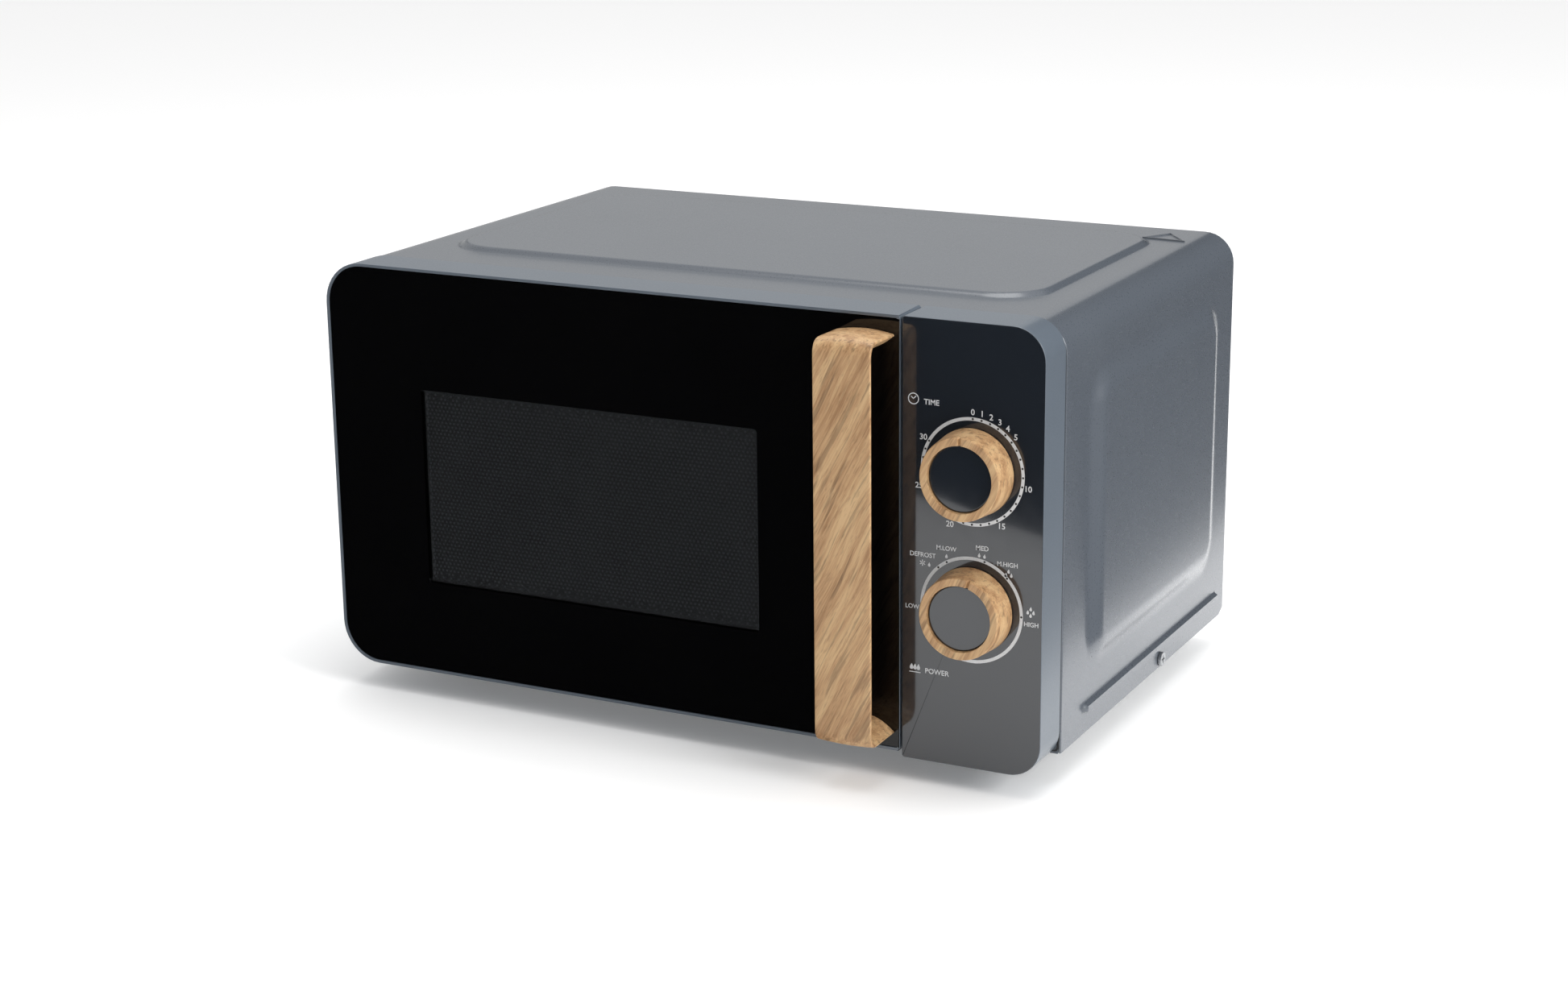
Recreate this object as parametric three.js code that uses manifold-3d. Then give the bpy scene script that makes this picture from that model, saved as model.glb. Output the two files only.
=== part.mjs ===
// Compact countertop microwave oven with two dials, a side-hinged door and a bar handle.
// Millimetres, +Z up. The oven stands on z = 0, its front looks along -Y, and the origin is under the middle
// of its bounding box. Inside the group "oven", y = 0 is the front plane of the door and the control panel.
import * as THREE from 'three';
import { mergeVertices } from 'three/addons/utils/BufferGeometryUtils.js';
import Module from 'manifold-3d';

const wasm = await Module();
wasm.setup();

// ---------- driving dimensions (mm) ----------

const gap = 0.3;                 // clearance between touching pieces
const boltGap = 0.3;             // radial clearance round a screw or a shaft
const roundSides = 24;           // sides of a large round
const smallSides = 12;           // sides of a screw, pin or shaft
const arcSteps = 5;              // segments of a corner arc

// Body
const bodyWidth = 440;
const bodyDepth = 298;           // front plane to the cabinet's rear edge
const frontDepth = 27.4;         // thickness of the door and the control panel
const footHeight = 17.5;
const cabinetHeight = 234.1;
const cabinetSkin = 1;
const cabinetRadius = 18;
const frontSeam = 0.6;           // gap between the door's back and the cabinet's front edge
const rearLip = 12;              // width of the cabinet's rear flange
const plateSkin = 1;             // base plate, rear panel and front frame

// Raised panels pressed into the cabinet
const topRaise = 2.5;
const topSlope = 6;
const topMargin = { side: 33, front: 66, rear: 30, corner: 32 };
const sideRaise = 4;
const sideSlope = 17;
const sideMargin = { front: 62, rear: 26, bottom: 34, top: 31, corner: 24 };
const beadRaise = 2.5;
const beadHeight = 6;
const beadLift = 11.5;           // cabinet's bottom edge to the bead
const beadMargin = { front: 60, rear: 16 };

// Front: door and control panel
const doorWidth = 359.6;
const doorRise = 2.1;            // the door reaches this far above the cabinet's top
const doorRadius = 24;
const doorDrop = 1.8;            // the door reaches this far below the cabinet
const frontGap = 1.2;            // slit between the door and the control panel
const panelDrop = 4.6;           // the control panel reaches this far below the cabinet
const panelWall = 2.4;
const bezelLip = 1.7;
const doorWall = 2.2;
const doorWeb = 2.2;
const glassThick = 3.2;
const glassSunk = 0.6;
const meshPlateGap = 1.7;        // door web to the perforated steel plate
const chokeDepth = 10;
const windowWidth = 212;
const windowHeight = 112;
const windowInset = 62.5;        // door's left edge to the window
const windowLift = 55.5;         // door's bottom edge to the window's bottom edge
const windowBorder = 9;          // the web's opening is this much larger on each side

// Handle
const handleReach = 30.6;
const handleWidth = 34.5;
const handleInset = 4.8;         // handle's edge to the door's edge
const handleEdge = 1.2;          // thickness at its two long edges
const handleCore = 10;           // thickness along its middle
const handleCorner = 3;
const handleMargin = 8.5;        // door's bottom or top edge to the handle's end
const handleFlare = 3.4;         // how far an end spreads from the corner to the door
const sideScrewInset = 114;      // cabinet's rear edge to a side screw
const screwRadius = 2;
const screwHead = 4.2;
const headHeight = 1.9;
const screwLength = 7;
const crossWidth = 1.1;          // the cross recess in a screw's head
const crossReach = 0.55;         // its half length, as a share of the head's radius

// Door hinge: a vertical pin at the left
const pinInset = 7.5;            // door's left edge to the pin's axis
const pinY = 17.5;
const pinRadius = 2.5;
const pinLength = 7;
const tongueThick = 2;
const tongueHalf = 4.5;
const tongueRoom = 0.9;
const tongueLift = 16;           // door's bottom or top edge to the tongue
const hingeRadius = 9.4;         // the door's rear left edge is rounded about the pin
const doorSmallRadius = 2.5;     // the door's corners beside the control panel

// Cooking chamber
const cavityWidth = 300;
const cavityHeight = 200;
const cavityInset = 27;          // door's left edge to the chamber
const cavityLift = 19.2;         // cabinet's bottom edge to the cavity's floor
const cavityDepth = 256;
const cavitySkin = 0.8;
const cavityRadius = 6;
const cavityFlange = 8;

// Turntable
const trayRoom = 5.5;            // tray's edge to the chamber's nearest wall
const trayThick = 5;
const trayRim = 10;
const rollerRadius = 7;
const rollerWidth = 5;
const rollerInset = 31;          // tray's edge to the middle of the rollers
const rollerCount = 3;
const axleRadius = 1.8;
const ringSection = 5;
const couplerRadius = 19;
const couplerShaft = 3.5;

// Controls
const timeLift = 159.5;          // door's bottom edge to the time dial
const powerLift = 85.1;
const powerRest = 15;            // degrees: the power dial stands at its medium mark
const knobRadius = 23.5;
const knobFrontRadius = 22.6;
const knobHeight = 17;
const knobLift = 0.6;            // panel's face to the back of a dial
const knobBore = 9;
const notchHalf = 1;             // the pointer notch in a dial's face
const notchDepth = 0.9;
const insertRadius = 17.5;
const insertSunk = 2.3;
const insertThick = 2.6;
const shaftRadius = 3;

// Interlock
const hookInset = 8.6;           // door's right edge to the middle of the hooks
const hookWidth = 8;
const hookLift = { lower: 42, upper: 182 };   // door's bottom edge to a hook's bottom
const hookHeight = 16;
const hookReach = 48;
const hookTravel = 4;
const slotRoom = 1.6;
const plungerProud = 0.6;        // a pressed plunger stands this far out of its switch
const switchSize = { x: 26, y: 16, z: 9.6 };

// Fan
const fanLift = 147;             // cabinet's bottom edge to the fan's axis
const fanRadius = 42;
const fanBlades = 5;

// ---------- places that follow ----------

const halfWidth = bodyWidth / 2;
const cabinetBottom = footHeight + gap;
const cabinetTop = cabinetBottom + cabinetHeight;
const cabinetFront = frontDepth + frontSeam;
const doorBottom = cabinetBottom - doorDrop;
const doorTop = cabinetTop + doorRise;
const doorLeft = -halfWidth;
const doorRight = doorLeft + doorWidth;
const panelLeft = doorRight + frontGap;
const panelBottom = cabinetBottom - panelDrop;
const innerX = halfWidth - cabinetSkin - gap;           // room inside the cabinet's sides
const innerTop = cabinetTop - cabinetSkin - gap;
const innerRadius = cabinetRadius - cabinetSkin - gap;
const rearInside = bodyDepth - cabinetSkin - gap;       // back face of the rear panel
const rearFace = rearInside - plateSkin;                // front face of the rear panel
const frameY = cabinetFront + gap;                      // front face of the front frame
const frameBack = frameY + plateSkin;
const linerFront = frameBack + gap;
const cavityLeft = doorLeft + cavityInset;
const cavityRight = cavityLeft + cavityWidth;
const cavityCentreX = (cavityLeft + cavityRight) / 2;
const cavityFloor = cabinetBottom + cavityLift;
const cavityTop = cavityFloor + cavityHeight;
const cavityBack = linerFront + cavityDepth;
const cavityMiddleY = linerFront + cavityDepth / 2;
const baseTop = cabinetBottom + plateSkin;
const trayRadius = Math.min(cavityWidth, cavityDepth) / 2 - trayRoom;
const rollerTrack = trayRadius - rollerInset;
const wallX = cavityRight + cavitySkin + gap;           // first free x beside the chamber
const pinX = doorLeft + pinInset;
const handleX = doorRight - handleInset - handleWidth / 2;
const handleBottom = doorBottom + handleMargin;
const handleTop = doorTop - handleMargin;
const hookX = doorRight - hookInset;
const knobX = (panelLeft + halfWidth) / 2;
const bayMiddle = (wallX + innerX) / 2;                 // middle of the bay between the chamber and the cabinet
const fanX = bayMiddle - 5.4;
const fanZ = cabinetBottom + fanLift;
const timeZ = doorBottom + timeLift;
const powerZ = doorBottom + powerLift;
const sideScrewY = bodyDepth - sideScrewInset;
const sideScrewZ = cabinetBottom + 4.9;
const glassFront = glassSunk;
const glassBack = glassFront + glassThick;
const webFront = glassBack + gap;
const webBack = webFront + doorWeb;
const meshPlateY = webBack + meshPlateGap;
const coverFront = meshPlateY + cabinetSkin + chokeDepth + gap;
const doorBack = frontDepth - gap;
const rearmost = bodyDepth + gap + headHeight;
const frontY = (handleReach - rearmost) / 2;            // centres the whole oven on y = 0

// ---------- shape tools ----------

const axisX = new THREE.Vector3(1, 0, 0);
const axisY = new THREE.Vector3(0, 1, 0);
const axisZ = new THREE.Vector3(0, 0, 1);
const planes = {
  x: new THREE.Matrix4().makeBasis(axisY, axisZ, axisX),
  y: new THREE.Matrix4().makeBasis(axisX, axisZ, axisY.clone().negate()),
  z: new THREE.Matrix4(),
};

// A closed three.js geometry as a solid that can be cut and joined.
function solid(geometry) {
  const bare = geometry.clone();
  bare.deleteAttribute('normal');
  bare.deleteAttribute('uv');
  const merged = mergeVertices(bare);
  const corners = [];
  const index = merged.index.array;
  for (let i = 0; i < index.length; i += 3) {
    const [a, b, c] = [index[i], index[i + 1], index[i + 2]];
    if (a !== b && b !== c && c !== a) corners.push(a, b, c);
  }
  const mesh = { numProp: 3, vertProperties: merged.attributes.position.array, triVerts: Uint32Array.from(corners) };
  return new wasm.Manifold(new wasm.Mesh(mesh));
}

function geometryOf(manifold) {
  const { vertProperties, triVerts } = manifold.getMesh();
  const geometry = new THREE.BufferGeometry();
  geometry.setAttribute('position', new THREE.BufferAttribute(vertProperties, 3));
  geometry.setIndex(new THREE.BufferAttribute(triVerts, 1));
  return geometry;
}

function join(...parts) {
  return parts.reduce((whole, part) => whole.add(part));
}

function cut(whole, ...tools) {
  return tools.reduce((left, tool) => left.subtract(tool), whole);
}

function box([x0, x1], [y0, y1], [z0, z1]) {
  const geometry = new THREE.BoxGeometry(x1 - x0, y1 - y0, z1 - z0);
  geometry.translate((x0 + x1) / 2, (y0 + y1) / 2, (z0 + z1) / 2);
  return solid(geometry);
}

// A flat outline pushed along an axis. Its own x and y are X,Z for axis y, Y,Z for axis x and X,Y for axis z.
function push(shape, axis, [from, to]) {
  const depth = to - from;
  const geometry = new THREE.ExtrudeGeometry(shape, { depth, bevelEnabled: false, curveSegments: arcSteps });
  geometry.applyMatrix4(planes[axis]);
  const shift = { x: axisX, y: axisY, z: axisZ }[axis].clone().multiplyScalar(axis === 'y' ? to : from);
  geometry.translate(shift.x, shift.y, shift.z);
  return solid(geometry);
}

// A round bar along an axis; its centre is given in the other two coordinates, in x, y, z order.
function rod(axis, radius, [from, to], [a, b], sides = smallSides, endRadius = radius) {
  const geometry = new THREE.CylinderGeometry(endRadius, radius, to - from, sides);
  const middle = (from + to) / 2;
  if (axis === 'x') geometry.rotateZ(-Math.PI / 2).translate(middle, a, b);
  if (axis === 'y') geometry.translate(a, middle, b);
  if (axis === 'z') geometry.rotateX(Math.PI / 2).translate(a, b, middle);
  return solid(geometry);
}

// A profile of [radius, height] points turned about a vertical axis.
function turned(profile, [x, y], sides = roundSides) {
  const points = profile.map(([radius, height]) => new THREE.Vector2(radius, height));
  const geometry = new THREE.LatheGeometry(points, sides);
  geometry.rotateX(Math.PI / 2).translate(x, y, 0);
  return solid(geometry);
}

// A rectangle with its own radius at each corner: bottom left, bottom right, top right, top left.
function plaque([x0, x1], [y0, y1], radii) {
  const [r0, r1, r2, r3] = Array.isArray(radii) ? radii : [radii, radii, radii, radii];
  const shape = new THREE.Shape();
  shape.moveTo(x0 + r0, y0);
  shape.lineTo(x1 - r1, y0);
  if (r1) shape.absarc(x1 - r1, y0 + r1, r1, -Math.PI / 2, 0);
  shape.lineTo(x1, y1 - r2);
  if (r2) shape.absarc(x1 - r2, y1 - r2, r2, 0, Math.PI / 2);
  shape.lineTo(x0 + r3, y1);
  if (r3) shape.absarc(x0 + r3, y1 - r3, r3, Math.PI / 2, Math.PI);
  shape.lineTo(x0, y0 + r0);
  if (r0) shape.absarc(x0 + r0, y0 + r0, r0, Math.PI, Math.PI * 1.5);
  return shape;
}

// A raised panel: a rounded rectangle whose sides slope down to its outer outline over the given height.
function raised([a0, a1], [b0, b1], corner, slope, height, axis, base) {
  const shape = plaque([a0 + slope, a1 - slope], [b0 + slope, b1 - slope], corner - slope);
  const geometry = new THREE.ExtrudeGeometry(shape, {
    depth: height, bevelEnabled: true, bevelSegments: 1, bevelSize: slope, bevelThickness: height,
    curveSegments: arcSteps,
  });
  geometry.applyMatrix4(planes[axis]);
  const lift = base - 2 * height;
  geometry.translate(axis === 'x' ? lift : 0, 0, axis === 'z' ? lift : 0);
  return solid(geometry);
}

const oven = new THREE.Group();
oven.name = 'oven';
oven.position.set(0, frontY, 0);

function add(name, shape, [color, roughness, metalness], parent = oven) {
  const material = new THREE.MeshStandardMaterial({ color, roughness, metalness });
  const mesh = new THREE.Mesh(geometryOf(shape), material);
  mesh.name = name;
  parent.add(mesh);
}

const finishes = {
  slatePaint: [0x666d75, 0.4, 0.2],
  blackPlastic: [0x1b1c1e, 0.5, 0],
  greyPlastic: [0x757c84, 0.4, 0],
  glossPanel: [0x23282f, 0.15, 0],
  blackGlass: [0x060607, 0.05, 0],
  clearGlass: [0xdfe8e6, 0.05, 0],
  oak: [0xcfae83, 0.45, 0],
  steel: [0xb9bcbf, 0.35, 1],
  galvanised: [0xa4a8aa, 0.5, 1],
  enamel: [0xc9cbcc, 0.35, 0.1],
  rubber: [0x151515, 0.9, 0],
  copper: [0x9a5a35, 0.4, 1],
  aluminium: [0xc8cacc, 0.35, 1],
  mica: [0xb79a6a, 0.6, 0],
  whitePlastic: [0xe9e7e2, 0.5, 0],
  boardGreen: [0x2f6b45, 0.6, 0],
};

// ---------- cabinet ----------

function cabinetOutline(inset, bottom) {
  const side = halfWidth - inset;
  const radius = cabinetRadius - inset;
  return plaque([-side, side], [bottom, cabinetTop - inset], [0, 0, radius, radius]);
}

// Everything that is pressed outwards in the sheet; called once for its outside and once, sunk, for its inside.
function pressings(sunk) {
  const topPanel = raised(
    [-halfWidth + topMargin.side, halfWidth - topMargin.side], [topMargin.front, bodyDepth - topMargin.rear],
    topMargin.corner, topSlope, topRaise, 'z', cabinetTop + topRaise - sunk);
  const sidePanel = raised(
    [sideMargin.front, bodyDepth - sideMargin.rear],
    [cabinetBottom + sideMargin.bottom, cabinetTop - sideMargin.top],
    sideMargin.corner, sideSlope, sideRaise, 'x', halfWidth + sideRaise - sunk);
  const beadZ = cabinetBottom + beadLift;
  const bead = raised(
    [beadMargin.front, bodyDepth - beadMargin.rear], [beadZ, beadZ + beadHeight],
    beadHeight / 2 - gap, beadHeight / 4, beadRaise, 'x', halfWidth + beadRaise - sunk);
  const side = join(sidePanel, bead);
  return join(topPanel, side, side.mirror([1, 0, 0]));
}

function makeCabinet() {
  const outside = join(push(cabinetOutline(0, cabinetBottom), 'y', [cabinetFront, bodyDepth]), pressings(0));
  const past = 10;
  const insideBody = push(cabinetOutline(cabinetSkin, cabinetBottom - past), 'y',
    [cabinetFront - past, bodyDepth - cabinetSkin]);
  const inside = join(insideBody, pressings(cabinetSkin));
  const rearOpening = push(
    plaque([-halfWidth + rearLip, halfWidth - rearLip], [cabinetBottom - past, cabinetTop - rearLip], 0),
    'y', [bodyDepth - past, bodyDepth + past]);
  const screwHoles = [-1, 1].map((side) => rod('x', screwRadius + boltGap,
    side < 0 ? [-halfWidth - past, -halfWidth + past] : [halfWidth - past, halfWidth + past],
    [sideScrewY, sideScrewZ]));
  const rearHoles = rearScrewXs.map((x) => rod('y', screwRadius + boltGap,
    [bodyDepth - past, bodyDepth + past], [x, rearScrewZ]));
  const louvres = [];
  for (let row = 0; row < vent.rows; row += 1) {
    const z = vent.z + row * vent.pitch;
    louvres.push(box([-halfWidth - past, -halfWidth + past], [vent.y, vent.y + vent.length], [z, z + vent.slot]));
  }
  return cut(outside, inside, rearOpening, ...screwHoles, ...rearHoles, ...louvres);
}

const rearScrewXs = [-halfWidth + rearLip / 2, halfWidth - rearLip / 2];
const rearScrewZ = cabinetTop - 40;
const vent = { rows: 6, pitch: 8, slot: 3, length: 46, y: 196, z: cabinetTop - 110 };

add('outer_cabinet', makeCabinet(), finishes.slatePaint);

// The base plate is a tray: a floor with a flange up each side, where the side screws bite.
const baseFront = linerFront;
const baseBack = rearFace - gap;
const flangeHeight = 14;
const footInset = { side: 45, front: 62, rear: 36 };
const footPlaces = [];
for (const x of [-halfWidth + footInset.side, halfWidth - footInset.side]) {
  for (const y of [footInset.front, bodyDepth - footInset.rear]) footPlaces.push([x, y]);
}
const footRadius = 13;
const footTaper = 1.5;
const footStem = 4;
const stemProud = 2;             // a foot's stem stands this far above the base plate

function makeBase() {
  const floor = box([-innerX, innerX], [baseFront, baseBack], [cabinetBottom, baseTop]);
  const sides = [-1, 1].map((side) => box(
    side < 0 ? [-innerX, -innerX + plateSkin] : [innerX - plateSkin, innerX],
    [baseFront, baseBack], [cabinetBottom, cabinetBottom + flangeHeight]));
  const screwHoles = rod('x', screwRadius + boltGap, [-halfWidth, halfWidth], [sideScrewY, sideScrewZ]);
  const feetHoles = footPlaces.map((place) => rod('z', footStem + boltGap, [0, footHeight * 2], place));
  return cut(join(floor, ...sides), screwHoles, ...feetHoles);
}

add('base_plate', makeBase(), finishes.galvanised);

footPlaces.forEach(([x, y]) => {
  const foot = join(
    rod('z', footRadius - footTaper, [0, footHeight], [x, y], roundSides, footRadius),
    rod('z', footStem, [footHeight - 1, baseTop + stemProud], [x, y]));
  const place = (y < bodyDepth / 2 ? 'front' : 'rear') + (x < 0 ? '_left' : '_right');
  add('foot_' + place, foot, finishes.rubber);
});

// A pan-head screw along an axis; the head lies from `seat` outwards in the direction `out`.
function screw(axis, seat, out, centre, length) {
  const head = rod(axis, screwHead, out > 0 ? [seat, seat + headHeight] : [seat - headHeight, seat], centre);
  const shank = rod(axis, screwRadius, out > 0 ? [seat - length, seat + 1] : [seat - 1, seat + length], centre);
  const slot = crossWidth;
  const reach = screwHead * crossReach;
  const top = seat + out * headHeight;
  const span = [Math.min(top, top - out), Math.max(top, top - out)];
  const [a, b] = centre;
  const wide = (u, v) => [[a - u, a + u], [b - v, b + v]];
  const recess = [wide(reach, slot / 2), wide(slot / 2, reach)].map(([p, q]) =>
    (axis === 'x' ? box(span, p, q) : box(p, span, q)));
  return cut(join(head, shank), ...recess);
}

add('side_screw_left', screw('x', -halfWidth - gap, -1, [sideScrewY, sideScrewZ], screwLength), finishes.steel);
add('side_screw_right', screw('x', halfWidth + gap, 1, [sideScrewY, sideScrewZ], screwLength), finishes.steel);
['left', 'right'].forEach((side, i) =>
  add('rear_screw_' + side, screw('y', bodyDepth + gap, 1, [rearScrewXs[i], rearScrewZ], screwLength), finishes.steel));

// ---------- rear panel with louvres and the cord gland ----------

const gland = { x: halfWidth - 30, z: cabinetBottom + 42, radius: 8, flange: 11, bore: 3.6, rim: 2.4, inside: 6 };
const fanGrille = { rows: 9, pitch: 9, slot: 4 };
const rearGrille = { rows: 5, pitch: 10, slot: 4, x: [-150, -70], below: 60 };   // below the chamber's top

function makeRearPanel() {
  const outline = plaque([-innerX, innerX], [cabinetBottom, innerTop], [0, 0, innerRadius, innerRadius]);
  const holes = rearScrewXs.map((x) => rod('y', screwRadius + boltGap, [rearFace - 1, rearInside + 1], [x, rearScrewZ]));
  holes.push(rod('y', gland.radius + boltGap, [rearFace - 1, rearInside + 1], [gland.x, gland.z]));
  const through = [rearFace - 1, rearInside + 1];
  for (let row = 0; row < fanGrille.rows; row += 1) {
    const rise = (row - (fanGrille.rows - 1) / 2) * fanGrille.pitch;
    const half = Math.sqrt(fanRadius ** 2 - rise ** 2);
    const middle = fanZ + rise;
    holes.push(box([fanX - half, fanX + half], through, [middle - fanGrille.slot / 2, middle + fanGrille.slot / 2]));
  }
  for (let row = 0; row < rearGrille.rows; row += 1) {
    const z = cavityTop - rearGrille.below + row * rearGrille.pitch;
    holes.push(box(rearGrille.x, through, [z, z + rearGrille.slot]));
  }
  return cut(push(outline, 'y', [rearFace, rearInside]), ...holes);
}

add('rear_panel', makeRearPanel(), finishes.slatePaint);

const glandShape = cut(join(
  rod('y', gland.flange, [rearInside + gap, rearInside + gap + gland.rim], [gland.x, gland.z], roundSides),
  rod('y', gland.radius, [rearFace - gland.inside, rearInside + 2 * gap], [gland.x, gland.z], roundSides)),
  rod('y', gland.bore, [rearFace - 2 * gland.inside, bodyDepth + gland.rim], [gland.x, gland.z]));
add('cord_gland', glandShape, finishes.blackPlastic);

// ---------- front frame and cooking chamber ----------

const hooks = Object.entries(hookLift).map(([name, lift]) => ({ name, z: doorBottom + lift }));
const hookSlot = (y0, y1) => hooks.map(({ z }) => box(
  [hookX - hookWidth / 2 - slotRoom, hookX + hookWidth / 2 + slotRoom], [y0, y1],
  [z - slotRoom, z + hookHeight + hookTravel + slotRoom]));
const tongues = [
  { name: 'lower', z: doorBottom + tongueLift, up: 1 },
  { name: 'upper', z: doorTop - tongueLift - tongueThick, up: -1 },
];
const timer = { half: 27, below: 25, above: 27, front: 12, flange: 11, back: 54, room: 2 };
const timerHole = { x: [knobX - timer.half - timer.room, knobX + timer.half + timer.room],
  z: [powerZ - timer.below - timer.room, timeZ + timer.above + timer.room] };

function makeFrontFrame() {
  const outline = plaque([-innerX, innerX], [cabinetBottom, innerTop], [0, 0, innerRadius, innerRadius]);
  const mouth = plaque([cavityLeft, cavityRight], [cavityFloor, cavityTop], cavityRadius);
  const through = [frameY - 1, frameBack + 1];
  const bracketSlots = tongues.map(({ z }) => box(
    [pinX - tongueHalf - gap, pinX + tongueHalf + gap], through, [z - gap, z + tongueThick + gap]));
  return cut(push(outline, 'y', [frameY, frameBack]), push(mouth, 'y', through),
    box(timerHole.x, through, timerHole.z), ...hookSlot(...through), ...bracketSlots);
}

add('front_frame', makeFrontFrame(), finishes.enamel);

const lamp = { y: 112, z: cavityTop - 26, radius: 10 };
const guide = { y0: 118, y1: 206, z0: cavityFloor + 92, z1: cavityFloor + 132, out: 22, margin: { y: 6, z: 5 } };
const lampSlots = { pitch: 5, slot: 2, y: [lamp.y - 10, lamp.y + 14] };
const airSlots = { pitch: 7, slot: 2.4, back: 60, z: [cavityTop - 60, cavityTop - 24] };

function makeLiner() {
  const outer = plaque([cavityLeft - cavitySkin, cavityRight + cavitySkin],
    [cavityFloor - cavitySkin, cavityTop + cavitySkin], cavityRadius + cavitySkin);
  const flange = plaque([cavityLeft - cavityFlange, cavityRight + cavityFlange],
    [cavityFloor - cavityFlange, cavityTop + cavityFlange], cavityRadius + cavityFlange);
  const inner = plaque([cavityLeft, cavityRight], [cavityFloor, cavityTop], cavityRadius);
  const holes = [
    rod('z', couplerShaft + 2 * boltGap, [cavityFloor - 5, cavityFloor + 5], [cavityCentreX, cavityMiddleY]),
    box([cavityRight - 1, cavityRight + 2], [guide.y0 + guide.margin.y, guide.y1 - guide.margin.y],
      [guide.z0 + guide.margin.z, guide.z1 - guide.margin.z]),
  ];
  for (let row = -2; row <= 2; row += 1) {
    const z = lamp.z + row * lampSlots.pitch;
    const y = cavityBack - airSlots.back + row * airSlots.pitch;
    holes.push(
      box([cavityRight - 1, cavityRight + 2], lampSlots.y, [z - lampSlots.slot / 2, z + lampSlots.slot / 2]),
      box([cavityLeft - 2, cavityLeft + 1], [y - airSlots.slot / 2, y + airSlots.slot / 2], airSlots.z));
  }
  return cut(join(push(outer, 'y', [linerFront, cavityBack + cavitySkin]),
    push(flange, 'y', [linerFront, linerFront + cavitySkin])),
  push(inner, 'y', [linerFront - 1, cavityBack]), ...holes);
}

add('cavity_liner', makeLiner(), finishes.enamel);
const coverSheet = { thick: 0.8, overY: 8, overZ: 6 };
add('waveguide_cover', box([cavityRight - gap - coverSheet.thick, cavityRight - gap],
  [guide.y0 - coverSheet.overY, guide.y1 + coverSheet.overY],
  [guide.z0 - coverSheet.overZ, guide.z1 + coverSheet.overZ]), finishes.mica);

// ---------- turntable ----------

const centre = [cavityCentreX, cavityMiddleY];
const rollerZ = cavityFloor + gap + rollerRadius;
const trayBottom = rollerZ + rollerRadius + gap;
const motorTop = cavityFloor - cavitySkin - gap;
const hubBottom = cavityFloor + 1.5;
const hubTop = trayBottom - gap;

const tableMotor = { radius: 25, height: 14, earReach: 34, earHalf: 6, earThick: 2, socket: 8 };
const motorShape = cut(join(
  rod('z', tableMotor.radius, [motorTop - tableMotor.height, motorTop], centre, roundSides),
  box([centre[0] - tableMotor.earReach, centre[0] + tableMotor.earReach],
    [centre[1] - tableMotor.earHalf, centre[1] + tableMotor.earHalf], [motorTop - tableMotor.earThick, motorTop])),
  rod('z', couplerShaft + boltGap, [motorTop - tableMotor.socket, motorTop + 1], centre));
add('turntable_motor', motorShape, finishes.galvanised);

const lobes = [];
const lobeCount = 3;
const lobeWidth = 9;
const hubRadius = 9;
for (let i = 0; i < lobeCount; i += 1) {
  const geometry = new THREE.BoxGeometry(couplerRadius, lobeWidth, hubTop - hubBottom);
  geometry.translate(couplerRadius / 2, 0, (hubTop + hubBottom) / 2).rotateZ(i * 2 * Math.PI / lobeCount);
  geometry.translate(centre[0], centre[1], 0);
  lobes.push(solid(geometry));
}
add('turntable_coupler', join(
  rod('z', couplerShaft, [motorTop - tableMotor.socket + 1, hubTop - 1], centre),
  rod('z', hubRadius, [hubBottom, hubTop], centre, roundSides), ...lobes), finishes.whitePlastic);

const lug = { size: 7, height: 5, reach: 16, sunk: 0.5 };   // under the tray, between the coupler's lobes
const lugs = [];
for (let i = 0; i < lobeCount; i += 1) {
  const geometry = new THREE.BoxGeometry(lug.size, lug.size, lug.height);
  geometry.translate(lug.reach, 0, trayBottom - lug.height / 2 + lug.sunk).rotateZ((i + 0.5) * 2 * Math.PI / lobeCount);
  geometry.translate(centre[0], centre[1], 0);
  lugs.push(solid(geometry));
}
const rimStart = trayRadius * 0.86;
add('glass_tray', join(turned([
  [0, trayBottom], [rimStart, trayBottom], [trayRadius - 3, trayBottom + trayRim / 2],
  [trayRadius, trayBottom + trayRim], [trayRadius - 3, trayBottom + trayRim + 1],
  [trayRadius - 8, trayBottom + trayThick + 1.5], [rimStart - 4, trayBottom + trayThick], [0, trayBottom + trayThick],
], centre, roundSides * 2), ...lugs), finishes.clearGlass);

// The roller ring carries three wheels on axles that point outwards.
const ringOuter = rollerTrack - rollerWidth / 2 - 2;
const ringHalf = ringSection / 2;
const ringShape = turned([
  [ringOuter - ringSection, rollerZ - ringHalf], [ringOuter, rollerZ - ringHalf],
  [ringOuter, rollerZ + ringHalf], [ringOuter - ringSection, rollerZ + ringHalf],
  [ringOuter - ringSection, rollerZ - ringHalf],
], centre, roundSides * 2);

function radial(shape, i) {
  return shape.translate(-centre[0], -centre[1], 0).rotate([0, 0, i * 360 / rollerCount])
    .translate(centre[0], centre[1], 0);
}

const axles = [];
for (let i = 0; i < rollerCount; i += 1) {
  const from = centre[0] + ringOuter - 1;
  const to = centre[0] + rollerTrack + rollerWidth / 2 + 2;
  const axle = rod('x', axleRadius, [from, to], [centre[1], rollerZ]);
  axles.push(radial(axle, i));
}
add('roller_ring', join(ringShape, ...axles), finishes.whitePlastic);
for (let i = 0; i < rollerCount; i += 1) {
  const middle = centre[0] + rollerTrack;
  const wheel = cut(
    rod('x', rollerRadius, [middle - rollerWidth / 2, middle + rollerWidth / 2], [centre[1], rollerZ], roundSides),
    rod('x', axleRadius + boltGap, [middle - rollerWidth, middle + rollerWidth], [centre[1], rollerZ]));
  add('roller_' + (i + 1), radial(wheel, i), finishes.whitePlastic);
}

// ---------- microwave parts in the bay beside the chamber ----------

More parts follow.
